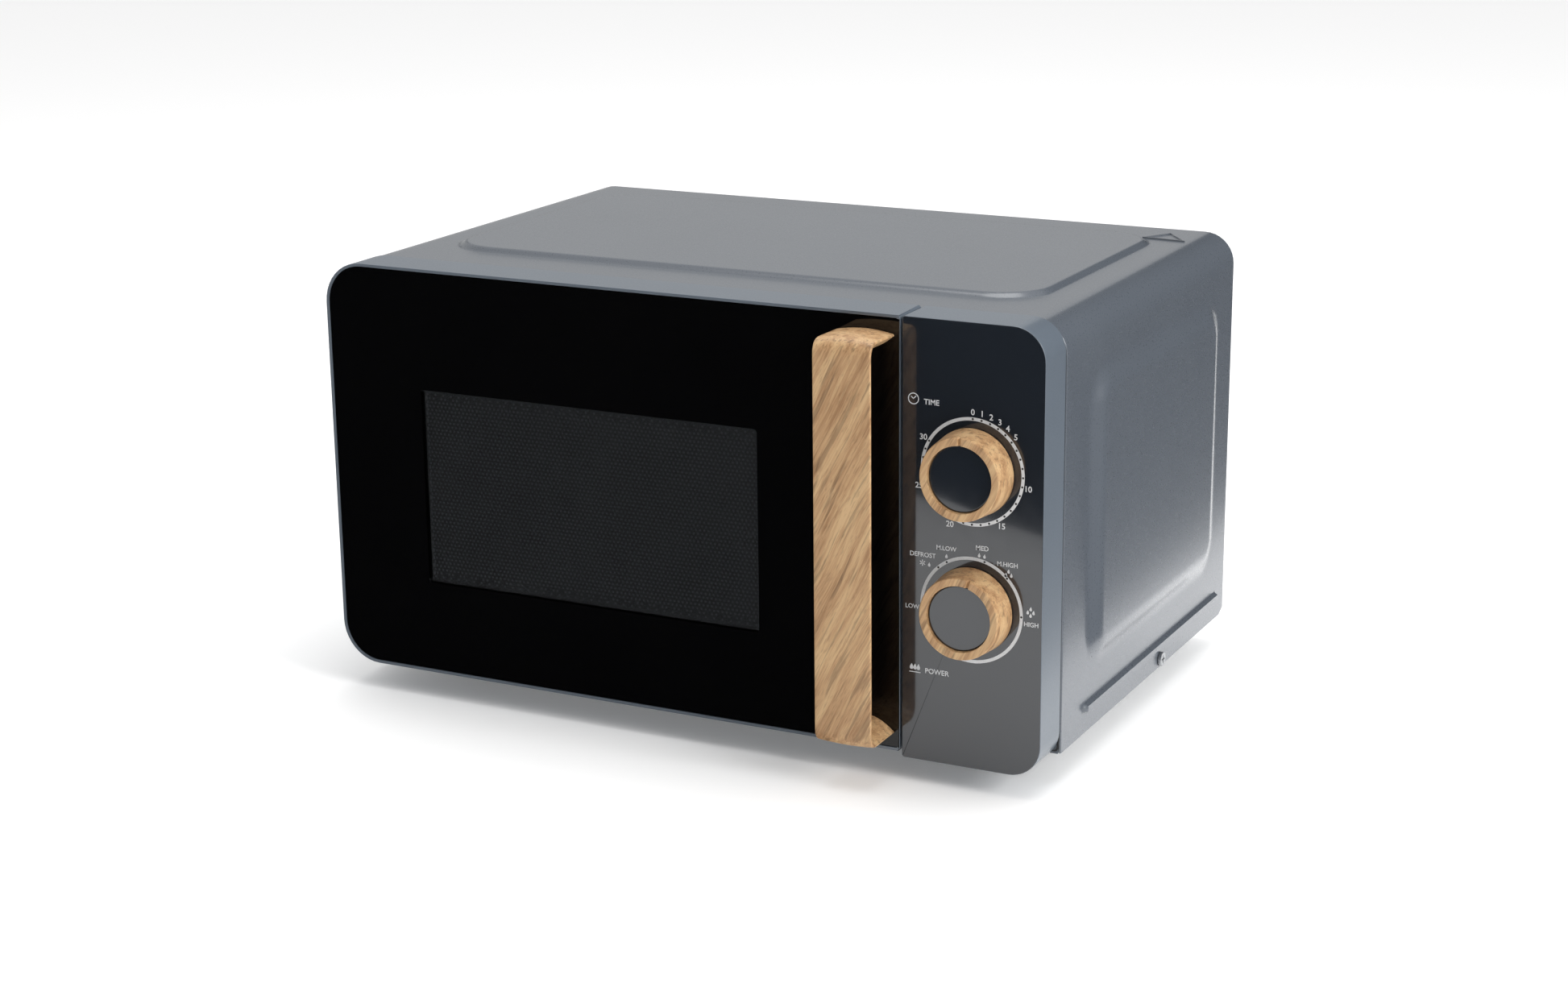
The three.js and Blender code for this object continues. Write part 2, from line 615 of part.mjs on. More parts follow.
const guideFace = wallX + guide.out;
const antenna = { y: 172, z: (guide.z0 + guide.z1) / 2, radius: 9 };
add('waveguide', cut(
  box([wallX, guideFace], [guide.y0, guide.y1], [guide.z0, guide.z1]),
  box([wallX - 1, guideFace - plateSkin], [guide.y0 + 1, guide.y1 - 1], [guide.z0 + 1, guide.z1 - 1]),
  rod('x', antenna.radius + 1, [guideFace - 3, guideFace + 1], [antenna.y, antenna.z], roundSides)),
finishes.galvanised);

// The magnetron: a tube with cooling fins in an open yoke, its antenna in the guide and its filter box outside.
const tube = { left: guideFace + gap, length: 49, radius: 17, plate: 2, wall: 1.5, halfY: 36, halfZ: 28, antenna: 14 };
const fin = { count: 6, first: 6, pitch: 7, thick: 1.2, halfY: 32, halfZ: 24 };
const filterBox = { out: 16, halfY: 20, halfZ: 16 };
// A block about the antenna's axis, from one distance from the tube's left end to another.
const slab = (from, to, halfY, halfZ) => box([tube.left + from, tube.left + to],
  [antenna.y - halfY, antenna.y + halfY], [antenna.z - halfZ, antenna.z + halfZ]);
const fins = [];
for (let i = 0; i < fin.count; i += 1) {
  const start = fin.first + i * fin.pitch;
  fins.push(slab(start, start + fin.thick, fin.halfY, fin.halfZ));
}
add('magnetron', join(
  slab(0, tube.plate, tube.halfY, tube.halfZ),
  slab(tube.length - tube.plate, tube.length, tube.halfY, tube.halfZ),
  box([tube.left, tube.left + tube.length], [antenna.y - tube.halfY, antenna.y - tube.halfY + tube.wall],
    [antenna.z - tube.halfZ, antenna.z + tube.halfZ]),
  rod('x', tube.radius, [tube.left + 1, tube.left + tube.length - 1], [antenna.y, antenna.z], roundSides),
  rod('x', antenna.radius - 2, [tube.left - tube.antenna, tube.left + 1], [antenna.y, antenna.z]),
  slab(tube.length - 1, tube.length - 1 + filterBox.out, filterBox.halfY, filterBox.halfZ),
  ...fins), finishes.aluminium);

// The transformer: a laminated core with two windows, through which the windings pass.
const core = { x: bayMiddle + 5, halfX: 37, y0: 150, y1: 206, height: 62, limb: 12, window: 16 };
const coreX = [core.x - core.halfX, core.x + core.halfX];
const coreZ = [baseTop + gap, baseTop + gap + core.height];
const windowZs = [coreZ[0] + core.limb, coreZ[1] - core.limb];
const through = [core.y0 - 1, core.y1 + 1];
add('transformer_core', cut(
  box(coreX, [core.y0, core.y1], coreZ),
  box([coreX[0] + core.limb, coreX[0] + core.limb + core.window], through, windowZs),
  box([coreX[1] - core.limb - core.window, coreX[1] - core.limb], through, windowZs)), finishes.galvanised);
const coilProud = 12;
const limbHalf = core.halfX - core.limb - core.window + gap;
add('transformer_coil', cut(
  box([coreX[0] + core.limb + gap, coreX[1] - core.limb - gap], [core.y0 - coilProud, core.y1 + coilProud],
    [windowZs[0] + gap, windowZs[1] - gap]),
  box([core.x - limbHalf, core.x + limbHalf], [core.y0 - gap, core.y1 + gap], coreZ)), finishes.copper);

const can = { x: bayMiddle + 8, y: 92, z0: baseTop + 2.5, height: 74, halfX: 26, halfY: 16 };
const tab = { offset: 10, width: 6, height: 9, thick: 0.8 };
const tabs = [-1, 1].map((side) => box(
  side < 0 ? [can.x - tab.offset - tab.width, can.x - tab.offset] : [can.x + tab.offset, can.x + tab.offset + tab.width],
  [can.y - tab.thick / 2, can.y + tab.thick / 2], [can.z0 + can.height - 1, can.z0 + can.height + tab.height]));
const canOutline = (grow) => plaque([can.x - can.halfX - grow, can.x + can.halfX + grow],
  [can.y - can.halfY - grow, can.y + can.halfY + grow], can.halfY - 1 + grow);
add('capacitor', join(push(canOutline(0), 'z', [can.z0, can.z0 + can.height]), ...tabs), finishes.aluminium);
const strap = { thick: 1.2, height: 18, ear: 14, earHalf: 8 };
add('capacitor_clamp', cut(join(
  push(canOutline(gap + strap.thick), 'z', [baseTop + gap, baseTop + strap.height]),
  box([can.x + can.halfX, can.x + can.halfX + strap.ear], [can.y - strap.earHalf, can.y + strap.earHalf],
    [baseTop + gap, baseTop + gap + strap.thick])),
push(canOutline(gap), 'z', [baseTop, baseTop + strap.height + 2])), finishes.galvanised);

// ---------- fan and lamp ----------

const shroud = {
  x0: wallX + 2, x1: innerX - rearLip, z0: fanZ - 52, z1: fanZ + 52, y: rearFace - gap - 34, wall: 1.6, corner: 4,
};
const shroudOuter = plaque([shroud.x0, shroud.x1], [shroud.z0, shroud.z1], shroud.corner);
const shroudInner = plaque([shroud.x0 + shroud.wall, shroud.x1 - shroud.wall],
  [shroud.z0 + shroud.wall, shroud.z1 - shroud.wall], shroud.corner - shroud.wall);
add('fan_shroud', cut(push(shroudOuter, 'y', [shroud.y, rearFace - gap]),
  push(shroudInner, 'y', [shroud.y + shroud.wall, rearFace + 1]),
  rod('y', fanRadius + 2, [shroud.y - 1, shroud.y + 3], [fanX, fanZ], roundSides * 2)), finishes.blackPlastic);

// The fan's motor: a core on a frame that four arms hold off the shroud.
const fanMotor = { back: shroud.y - 2, depth: 22, halfX: 24, below: 26, above: 20 };
const motorFrame = { front: shroud.y - 26, thick: 3, halfX: 38, halfZ: 40, arm: 8 };
const spindle = { radius: 2, inside: 10 };
const motorArms = [];
for (const x of [-1, 1]) {
  for (const z of [-1, 1]) {
    const armX = fanX + x * (motorFrame.halfX - motorFrame.arm / 2);
    const armZ = fanZ + z * (motorFrame.halfZ - motorFrame.arm / 2);
    motorArms.push(box([armX - motorFrame.arm / 2, armX + motorFrame.arm / 2], [motorFrame.front, shroud.y - gap],
      [armZ - motorFrame.arm / 2, armZ + motorFrame.arm / 2]));
  }
}
add('fan_motor', cut(join(
  box([fanX - fanMotor.halfX, fanX + fanMotor.halfX], [fanMotor.back - fanMotor.depth, fanMotor.back],
    [fanZ - fanMotor.below, fanZ + fanMotor.above]),
  box([fanX - motorFrame.halfX, fanX + motorFrame.halfX], [motorFrame.front, motorFrame.front + motorFrame.thick],
    [fanZ - motorFrame.halfZ, fanZ + motorFrame.halfZ]), ...motorArms),
rod('y', spindle.radius + boltGap, [fanMotor.back - spindle.inside - 2, fanMotor.back + 4], [fanX, fanZ])),
finishes.galvanised);

const fanHub = { radius: 10, from: shroud.y + 3, to: shroud.y + 25 };
const blade = { thick: 1.6, chord: 20, pitch: 38, root: 8 };   // the pitch in degrees
const blades = [];
for (let i = 0; i < fanBlades; i += 1) {
  const geometry = new THREE.BoxGeometry(fanRadius - blade.root, blade.thick, blade.chord);
  geometry.rotateX(THREE.MathUtils.degToRad(blade.pitch)).translate((fanRadius + blade.root) / 2, 0, 0);
  geometry.rotateY(i * 2 * Math.PI / fanBlades).translate(fanX, (fanHub.from + fanHub.to) / 2, fanZ);
  blades.push(solid(geometry));
}
add('fan_blade', join(
  rod('y', fanHub.radius, [fanHub.from, fanHub.to], [fanX, fanZ], roundSides),
  rod('y', spindle.radius, [fanMotor.back - spindle.inside, fanHub.to - 5], [fanX, fanZ]), ...blades),
finishes.whitePlastic);

// The lamp: a holder on the chamber's wall, and a bulb that lies behind the lamp slots.
const holder = { plate: 2, plateY: [lamp.y - 40, lamp.y - 12], plateHalfZ: 14, front: lamp.y - 34, back: lamp.y - 20,
  out: 28, halfZ: 11 };
add('lamp_holder', join(
  box([wallX, wallX + holder.plate], holder.plateY, [lamp.z - holder.plateHalfZ, lamp.z + holder.plateHalfZ]),
  box([wallX + 1, wallX + holder.out], [holder.front, holder.back], [lamp.z - holder.halfZ, lamp.z + holder.halfZ])),
finishes.whitePlastic);
const bulb = { x: wallX + 16, neck: 6, shoulder: 10, widest: 20, crown: 29, length: 33 };
const bulbProfile = [[0, 0], [bulb.neck, 0], [bulb.neck, bulb.shoulder], [lamp.radius, bulb.widest],
  [lamp.radius - 2, bulb.crown], [0, bulb.length]];
const bulbGeometry = new THREE.LatheGeometry(bulbProfile.map(([r, h]) => new THREE.Vector2(r, h)), smallSides);
bulbGeometry.translate(bulb.x, holder.back + gap, lamp.z);
add('lamp_bulb', solid(bulbGeometry), finishes.clearGlass);

const cutout = { y: 232, z: cavityTop - 22, radius: 8, out: 8, plate: 1.2, plateHalfY: 12, plateHalfZ: 5 };
add('thermal_cutout', join(
  rod('x', cutout.radius, [wallX, wallX + cutout.out], [cutout.y, cutout.z], smallSides),
  box([wallX, wallX + cutout.plate], [cutout.y - cutout.plateHalfY, cutout.y + cutout.plateHalfY],
    [cutout.z - cutout.plateHalfZ, cutout.z + cutout.plateHalfZ])), finishes.blackPlastic);

// The noise filter: a board on two posts in front of the rear panel, with a choke and a capacitor on it.
const board = { x: wallX + 12, z: cabinetBottom + 14, width: 46, height: 60, thick: 1.6, off: 4.4, post: 6 };
const boardBack = rearFace - gap - board.off;
const boardPost = (x, z) => box([x, x + board.post], [boardBack - 1, rearFace - gap], [z, z + board.post]);
const choke = { x: [board.x + 8, board.x + 26], z: [board.z + 10, board.z + 30], depth: 20 };
const smallCan = { radius: 7, depth: 18, x: board.x + 30, z: board.z + 46 };
add('noise_filter', join(
  box([board.x, board.x + board.width], [boardBack - board.thick, boardBack], [board.z, board.z + board.height]),
  boardPost(board.x + 2, board.z + 4), boardPost(board.x + board.width - 8, board.z + board.height - 10),
  box(choke.x, [boardBack - choke.depth, boardBack - 1], choke.z),
  rod('y', smallCan.radius, [boardBack - smallCan.depth, boardBack - 1], [smallCan.x, smallCan.z])),
finishes.boardGreen);

// ---------- hinge brackets ----------

const hingePlateHeight = 22;
tongues.forEach(({ name, z, up }) => {
  const plate = box([pinX - tongueHalf, pinX + tongueHalf], [pinY, frameBack + gap + plateSkin], [z, z + tongueThick]);
  const nose = rod('z', tongueHalf, [z, z + tongueThick], [pinX, pinY], roundSides);
  const back = box([pinX - tongueHalf, cavityLeft - cavityFlange - gap], [frameBack + gap, frameBack + gap + plateSkin],
    up > 0 ? [z, z + hingePlateHeight] : [z + tongueThick - hingePlateHeight, z + tongueThick]);
  const pin = rod('z', pinRadius,
    up > 0 ? [z + 1, z + tongueThick + pinLength] : [z - pinLength, z + 1], [pinX, pinY]);
  add('hinge_' + name, join(plate, nose, back, pin), finishes.steel);
});

// ---------- control panel ----------

function makePanel() {
  const span = [panelLeft, halfWidth];
  const height = [panelBottom, doorTop];
  const inset = ([low, high]) => [low + panelWall, high - panelWall];
  const shell = push(plaque(span, height, [1.5, cabinetRadius, cabinetRadius, 1.5]), 'y', [0, frontDepth]);
  const inside = push(plaque(inset(span), inset(height), [0, cabinetRadius - panelWall, cabinetRadius - panelWall, 0]),
    'y', [panelWall, frontDepth + 1]);
  const holes = [timeZ, powerZ].map((z) => rod('y', shaftRadius + 1.5, [-1, panelWall + 1], [knobX, z]));
  const posts = [];
  for (const x of [-1, 1]) {
    for (const z of [powerZ - timer.below + postInset, timeZ + timer.above - postInset]) {
      posts.push(rod('y', postRadius, [panelWall - 1, timer.front - gap], [knobX + x * (timer.half - postInset), z]));
    }
  }
  return join(cut(shell, inside, ...holes), ...posts);
}

const postInset = 5;
const postRadius = 3.5;
add('control_panel', makePanel(), finishes.glossPanel);

const timerWaist = 2;            // the timer's case is this much narrower than its mounting flange
add('timer_body', cut(join(
  box([knobX - timer.half + timerWaist, knobX + timer.half - timerWaist],
    [timer.front + timer.flange - 1, timer.back], [powerZ - timer.below + 3, timeZ + timer.above - 3]),
  box([knobX - timer.half, knobX + timer.half], [timer.front, timer.front + timer.flange],
    [powerZ - timer.below, timeZ + timer.above])),
...[timeZ, powerZ].map((z) => rod('y', shaftRadius + boltGap, [timer.front - 1, timer.front + 2 * timer.flange],
  [knobX, z]))), finishes.galvanised);

// ---------- dials: knob, sunk insert and shaft, each in a group that stands at its rest angle ----------

function makeDial(prefix, shaftName, z, rest) {
  const dial = new THREE.Group();
  dial.position.set(knobX, 0, z);
  dial.rotation.y = THREE.MathUtils.degToRad(rest);
  oven.add(dial);
  const back = -knobLift;
  const face = back - knobHeight;
  const insertBack = face + insertSunk + insertThick;
  const body = rod('y', knobFrontRadius, [face, back], [0, 0], roundSides * 2, knobRadius);
  const recess = rod('y', insertRadius + gap, [face - 1, insertBack + gap], [0, 0], roundSides * 2);
  const bore = rod('y', shaftRadius + boltGap, [back - knobBore, back + 1], [0, 0]);
  const pointer = box([-notchHalf, notchHalf], [face - 1, face + notchDepth], [insertRadius - 1, knobRadius + 1]);
  add(prefix + '_knob', cut(body, recess, bore, pointer), finishes.oak, dial);
  add(prefix + '_knob_insert', rod('y', insertRadius, [face + insertSunk, insertBack], [0, 0], roundSides * 2),
    finishes.blackPlastic, dial);
  const flat = box([shaftRadius / 2, shaftRadius + 1], [back - knobBore, back], [-shaftRadius, shaftRadius]);
  const shaft = rod('y', shaftRadius, [back - knobBore + 1, timer.front + 2 * timer.flange - 2], [0, 0]);
  add(shaftName, cut(shaft, flat), finishes.steel, dial);
}

makeDial('time', 'timer_shaft', timeZ, 0);
makeDial('power', 'selector_shaft', powerZ, powerRest);

// ---------- door ----------

function doorOutline(inset) {
  const radius = doorRadius - inset;
  return plaque([doorLeft + inset, doorRight - inset], [doorBottom + inset, doorTop - inset],
    [radius, Math.max(doorSmallRadius - inset, 0), Math.max(doorSmallRadius - inset, 0), radius]);
}

// What the rounding about the hinge pin takes off the door's rear left edge, out to `radius` from the pin.
function hingeRounding(radius) {
  const far = 40;
  const shape = new THREE.Shape();
  shape.moveTo(pinX, pinY + radius);
  shape.lineTo(pinX, pinY + far);
  shape.lineTo(pinX - far, pinY + far);
  shape.lineTo(pinX - far, pinY);
  shape.lineTo(pinX - radius, pinY);
  shape.absarc(pinX, pinY, radius, Math.PI, Math.PI / 2, true);
  return push(shape, 'z', [doorBottom - 1, doorTop + 1]);
}

const tongueRooms = tongues.map(({ z }) => box(
  [doorLeft - 1, pinX + tongueHalf + tongueRoom], [pinY - tongueHalf - 2 * tongueRoom - gap, frontDepth + 1],
  [z - tongueRoom, z + tongueThick + tongueRoom]));
const lugThick = 3.5;
const lugRight = pinX + tongueHalf + 1;
const lugBack = pinY + 5.4;
// Room in the inner cover for the frame's lugs and the ends of the hinge pins.
const lugRooms = tongues.map(({ z, up }) => {
  const reach = pinLength + 2 * gap;
  return box([doorLeft - 1, lugRight + gap], [coverFront - 1, lugBack + gap],
    up > 0 ? [z, z + tongueThick + reach] : [z - reach, z + tongueThick]);
});
const handleScrewZs = [handleBottom + handleCore / 2 + 1, handleTop - handleCore / 2 - 1];
const handleHoles = (radius, y0, y1) => handleScrewZs.map((z) => rod('y', radius, [y0, y1], [handleX, z]));
const windowX = [doorLeft + windowInset, doorLeft + windowInset + windowWidth];
const windowZ = [doorBottom + windowLift, doorBottom + windowLift + windowHeight];

function makeDoorFrame() {
  const rim = push(doorOutline(0), 'y', [0, doorBack]);
  const glassSeat = push(doorOutline(bezelLip), 'y', [-1, webFront]);
  const rear = push(doorOutline(doorWall), 'y', [webBack, frontDepth + 1]);
  const opening = box([windowX[0] - windowBorder, windowX[1] + windowBorder], [webFront - 1, webBack + 1],
    [windowZ[0] - windowBorder, windowZ[1] + windowBorder]);
  const lugs = tongues.map(({ z, up }) => {
    const near = up > 0 ? z + tongueThick + tongueRoom : z - tongueRoom - lugThick;
    const span = [near, near + lugThick];
    return cut(box([doorLeft + 1, lugRight], [webBack - 1, lugBack], span),
      rod('z', pinRadius + boltGap, [span[0] - 1, span[1] + 1], [pinX, pinY]));
  });
  return cut(join(cut(rim, glassSeat, rear, opening), ...lugs),
    hingeRounding(hingeRadius), ...tongueRooms, ...handleHoles(screwRadius + boltGap, webFront - 1, webBack + 1));
}

add('door_frame', makeDoorFrame(), finishes.greyPlastic);
add('door_glass', cut(push(doorOutline(bezelLip + gap), 'y', [glassFront, glassBack]),
  ...handleHoles(screwRadius + boltGap, 0, glassBack + 1)), finishes.blackGlass);

// The door's steel plate: its perforated window is a thin field; its folded edge chokes the microwaves.
const plate = {
  x: [pinX + tongueHalf + 4, hookX - hookWidth / 2 - 6], z: [doorBottom + 12, doorTop - 12],
};
function makeMeshPlate() {
  const skin = cabinetSkin;
  const inner = ([low, high]) => [low + skin, high - skin];
  const outer = push(plaque(plate.x, plate.z, 6), 'y', [meshPlateY, meshPlateY + skin + chokeDepth]);
  const hollow = push(plaque(inner(plate.x), inner(plate.z), 5), 'y', [meshPlateY + skin, frontDepth]);
  const field = box(windowX, [meshPlateY + skin / 2, frontDepth], windowZ);
  return cut(outer, hollow, field, ...handleHoles(screwHead + 1, meshPlateY - 1, meshPlateY + skin + 1));
}
add('door_mesh', makeMeshPlate(), finishes.blackPlastic);

const coverMargin = 14;          // window to the edge of the inner cover's opening
function makeInnerCover() {
  const outer = push(doorOutline(doorWall + gap), 'y', [coverFront, doorBack]);
  const around = ([low, high]) => [low - coverMargin, high + coverMargin];
  const opening = push(plaque(around(windowX), around(windowZ), 8), 'y', [coverFront - 1, doorBack + 1]);
  const hollow = push(plaque([pinX + 22, hookX - hookWidth - 6], [doorBottom + 20, doorTop - 20], 6), 'y',
    [coverFront - 1, doorBack - 2]);
  return cut(outer, opening, hollow, hingeRounding(hingeRadius - 1), ...tongueRooms, ...lugRooms,
    ...hookSlot(coverFront - 1, doorBack + 1));
}
add('door_inner_cover', makeInnerCover(), finishes.blackPlastic);

// ---------- handle: a bar with thin edges and a full middle, which turns back into the door at both ends ----------

function makeHandle() {
  const front = -handleReach;
  const foot = glassFront - gap;
  const bend = handleFlare;
  const side = new THREE.Shape();
  side.moveTo(foot, handleBottom);
  side.lineTo(front + handleCorner, handleBottom + bend);
  side.quadraticCurveTo(front, handleBottom + bend, front, handleBottom + bend + 2 * handleCorner);
  side.lineTo(front, handleTop - bend - 2 * handleCorner);
  side.quadraticCurveTo(front, handleTop - bend, front + handleCorner, handleTop - bend);
  side.lineTo(foot, handleTop);
  const half = handleWidth / 2;
  const block = push(side, 'x', [handleX - half, handleX + half]);
  // The room behind the bar is bounded by shallow arcs, so that the bar is thick only along its middle.
  const past = 8;
  const bulge = handleCore - handleEdge;
  const edgeBack = front + handleEdge;
  const back = new THREE.Shape();
  back.moveTo(handleX - half - past, past);
  back.lineTo(handleX - half - past, edgeBack);
  back.lineTo(handleX - half, edgeBack);
  back.quadraticCurveTo(handleX, edgeBack + 2 * bulge, handleX + half, edgeBack);
  back.lineTo(handleX + half + past, edgeBack);
  back.lineTo(handleX + half + past, past);
  const low = handleBottom + bend + handleEdge;
  const high = handleTop - bend - handleEdge;
  const ends = new THREE.Shape();
  ends.moveTo(handleX - half - past, low);
  ends.lineTo(handleX - half, low);
  ends.quadraticCurveTo(handleX, low + 2 * bulge, handleX + half, low);
  ends.lineTo(handleX + half + past, low);
  ends.lineTo(handleX + half + past, high);
  ends.lineTo(handleX + half, high);
  ends.quadraticCurveTo(handleX, high - 2 * bulge, handleX - half, high);
  ends.lineTo(handleX - half - past, high);
  const room = push(back, 'z', [handleBottom - past, handleTop + past])
    .intersect(push(ends, 'y', [front, past]));
  return cut(block, room, ...handleHoles(screwRadius + boltGap, -handleCore + 1, past));
}
add('handle', makeHandle(), finishes.oak);
['lower', 'upper'].forEach((name, i) => add('handle_screw_' + name,
  screw('y', webBack + gap, 1, [handleX, handleScrewZs[i]], webBack + handleCore - 2), finishes.steel));

// ---------- latch lever, latch bracket and door switches ----------

const leverBack = meshPlateY + 8;
const leverX = [hookX - hookWidth / 2, hookX + hookWidth / 2];
const noseHeight = 5;
const noseDepth = 6;
const leverOver = { below: 8, above: 6 };       // the lever reaches this far past its hooks
const shankX = [leverX[0] + 1, leverX[1] - 1];
add('latch_lever', join(
  box(leverX, [meshPlateY + 2, leverBack], [hooks[0].z - leverOver.below, hooks[1].z + hookHeight + leverOver.above]),
  ...hooks.map(({ z }) => box(shankX, [leverBack - 1, hookReach], [z + noseHeight, z + hookHeight])),
  ...hooks.map(({ z }) => box(shankX, [hookReach - noseDepth, hookReach], [z, z + hookHeight]))),
finishes.blackPlastic);

const bracketFront = frameBack + gap;
const bracketWall = 2.5;
const bracket = {
  x: [wallX + 8, hookX + hookWidth / 2 + slotRoom + bracketWall],
  z: [hooks[0].z - 14, hooks[1].z + hookHeight + 18],
};
const switchFront = hookReach + gap + plungerProud;
const shelf = [bracket.x[1] - bracketWall, bracket.x[1]];
add('latch_bracket', cut(join(
  box(bracket.x, [bracketFront, bracketFront + bracketWall], bracket.z),
  box(shelf, [bracketFront, switchFront + switchSize.y], bracket.z)),
...hookSlot(bracketFront - 1, bracketFront + bracketWall + 1)), finishes.blackPlastic);

const switches = [
  { name: 'primary', z: hooks[1].z + 1 },
  { name: 'secondary', z: hooks[0].z - 3 },
  { name: 'monitor', z: hooks[0].z - 3 + switchSize.z + gap },
];
const plunger = { halfX: 2.4, halfZ: 1.2, inside: 5 };
const switchRight = shelf[0] - gap;
switches.forEach(({ name, z }) => {
  const middleZ = z + switchSize.z / 2;
  const room = [[hookX - plunger.halfX - gap, hookX + plunger.halfX + gap],
    [switchFront - 1, switchFront + plunger.inside + gap],
    [middleZ - plunger.halfZ - gap, middleZ + plunger.halfZ + gap]];
  add('switch_' + name, cut(
    box([switchRight - switchSize.x, switchRight], [switchFront, switchFront + switchSize.y], [z, z + switchSize.z]),
    box(...room)), finishes.blackPlastic);
  add('plunger_' + name, box([hookX - plunger.halfX, hookX + plunger.halfX],
    [switchFront - plungerProud, switchFront + plunger.inside], [middleZ - plunger.halfZ, middleZ + plunger.halfZ]),
  finishes.whitePlastic);
});

const microwave = new THREE.Group();
microwave.add(oven);

export default microwave;
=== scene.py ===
"""A compact microwave oven with a wood-effect bar handle and two dials, in a plain white studio."""

import math

import bmesh
import bpy
from mathutils import Matrix, Vector


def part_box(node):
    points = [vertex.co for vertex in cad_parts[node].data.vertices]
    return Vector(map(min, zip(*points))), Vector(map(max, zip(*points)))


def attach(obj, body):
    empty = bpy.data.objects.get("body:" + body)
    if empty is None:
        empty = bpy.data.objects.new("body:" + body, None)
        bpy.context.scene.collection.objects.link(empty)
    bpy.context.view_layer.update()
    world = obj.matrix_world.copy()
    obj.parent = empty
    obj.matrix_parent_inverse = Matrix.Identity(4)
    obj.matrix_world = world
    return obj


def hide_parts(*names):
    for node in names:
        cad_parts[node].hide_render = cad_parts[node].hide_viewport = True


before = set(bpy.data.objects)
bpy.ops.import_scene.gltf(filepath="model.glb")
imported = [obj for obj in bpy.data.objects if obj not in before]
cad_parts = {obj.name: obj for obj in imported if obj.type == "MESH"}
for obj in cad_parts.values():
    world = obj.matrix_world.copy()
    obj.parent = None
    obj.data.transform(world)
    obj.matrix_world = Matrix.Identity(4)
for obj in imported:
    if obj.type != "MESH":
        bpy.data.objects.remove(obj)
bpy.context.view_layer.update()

scene = bpy.context.scene

# Lengths below are in millimetres in the oven's own frame: x from the middle, y back from the front plane
# of the door and the control panel, z up from the floor.
MM = 0.001
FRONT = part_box("control_panel")[0].y


def place(x, y, z):
    """A point of the oven's own frame, in metres in the row frame."""
    return Vector((x * MM, FRONT + y * MM, z * MM))


def extent(node):
    """A CAD node's lowest and highest x, y and z in the oven's own frame."""
    low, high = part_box(node)
    shift = Vector((0, FRONT, 0))
    return [(a / MM, b / MM) for a, b in zip(low - shift, high - shift)]


door_x, _, door_z = extent("door_frame")


# ---------- camera ----------

CAMERA_X, CAMERA_Y, CAMERA_ABOVE_DOOR = 728.8, -1281.9, 542.0
TURN, TILT, ROLL = 0.47364, 0.27525, -0.010551  # radians: to the left, downwards, and about the line of sight

camera = bpy.data.objects.new("camera", bpy.data.cameras.new("camera"))
scene.collection.objects.link(camera)
camera.data.sensor_width = 36
camera.data.lens = 64.6
camera.data.clip_end = 60
turn = Matrix.Rotation(TURN, 4, "Z")
tilt = Matrix.Rotation(math.pi / 2 - TILT, 4, "X")
roll = Matrix.Rotation(ROLL, 4, "Z")
spot = place(CAMERA_X, CAMERA_Y, door_z[0] + CAMERA_ABOVE_DOOR)
camera.matrix_world = Matrix.Translation(spot) @ turn @ tilt @ roll
scene.camera = camera
scene.view_settings.view_transform = "Standard"


# ---------- node helper and colours ----------

def linear(code):
    """An sRGB hex colour as the linear value that shaders take."""
    parts = [int(code[i:i + 2], 16) / 255 for i in (1, 3, 5)]
    return tuple(v / 12.92 if v <= 0.04045 else ((v + 0.055) / 1.055) ** 2.4 for v in parts) + (1.0,)


def add_node(tree, kind, settings=None, inputs=None):
    """Adds a node, sets its properties, and sets or links its inputs."""
    made = tree.nodes.new(kind)
    for name, value in (settings or {}).items():
        setattr(made, name, value)
    for key, value in (inputs or {}).items():
        if isinstance(value, bpy.types.NodeSocket):
            tree.links.new(value, made.inputs[key])
        else:
            made.inputs[key].default_value = value
    return made


def per_mm(size):
    """The texture scale at which one feature is `size` millimetres across."""
    return 1 / (size * MM)


def begin(name):
    """An empty material and its tree, with coordinates fixed to the piece."""
    material = bpy.data.materials.new(name)
    material.use_nodes = True
    tree = material.node_tree
    tree.nodes.clear()
    where = add_node(tree, "ShaderNodeTexCoord").outputs["Object"]
    return material, tree, where


def surface(tree, shader):
    """Sends a shader to the material's output."""
    add_node(tree, "ShaderNodeOutputMaterial", inputs={"Surface": shader.outputs["BSDF"]})


# ---------- materials ----------

def powder_coat(name, light, dark, roughness, peel, skin=0.0):
    """Sprayed and baked paint on sheet steel: a satin skin with the faint pebble of orange peel."""
    material, tree, where = begin(name)
    pebble = add_node(tree, "ShaderNodeTexNoise", inputs={"Vector": where, "Scale": per_mm(1.1), "Detail": 2.0})
    cloud = add_node(tree, "ShaderNodeTexNoise", inputs={"Vector": where, "Scale": per_mm(70), "Detail": 3.0})
    tone = add_node(tree, "ShaderNodeMix", {"data_type": "RGBA"},
                    {"Factor": cloud.outputs["Fac"], "A": linear(dark), "B": linear(light)})
    grain = add_node(tree, "ShaderNodeMapRange", inputs={
        "Value": pebble.outputs["Fac"], "From Min": 0.3, "From Max": 0.7,
        "To Min": roughness - 0.04, "To Max": roughness + 0.04})
    bump = add_node(tree, "ShaderNodeBump", inputs={
        "Height": pebble.outputs["Fac"], "Strength": 0.5, "Distance": peel * MM})
    surface(tree, add_node(tree, "ShaderNodeBsdfPrincipled", inputs={
        "Base Color": tone.outputs["Result"], "Roughness": grain.outputs["Result"], "IOR": 1.5,
        "Coat Weight": skin, "Coat Roughness": 0.2, "Normal": bump.outputs["Normal"]}))
    return material


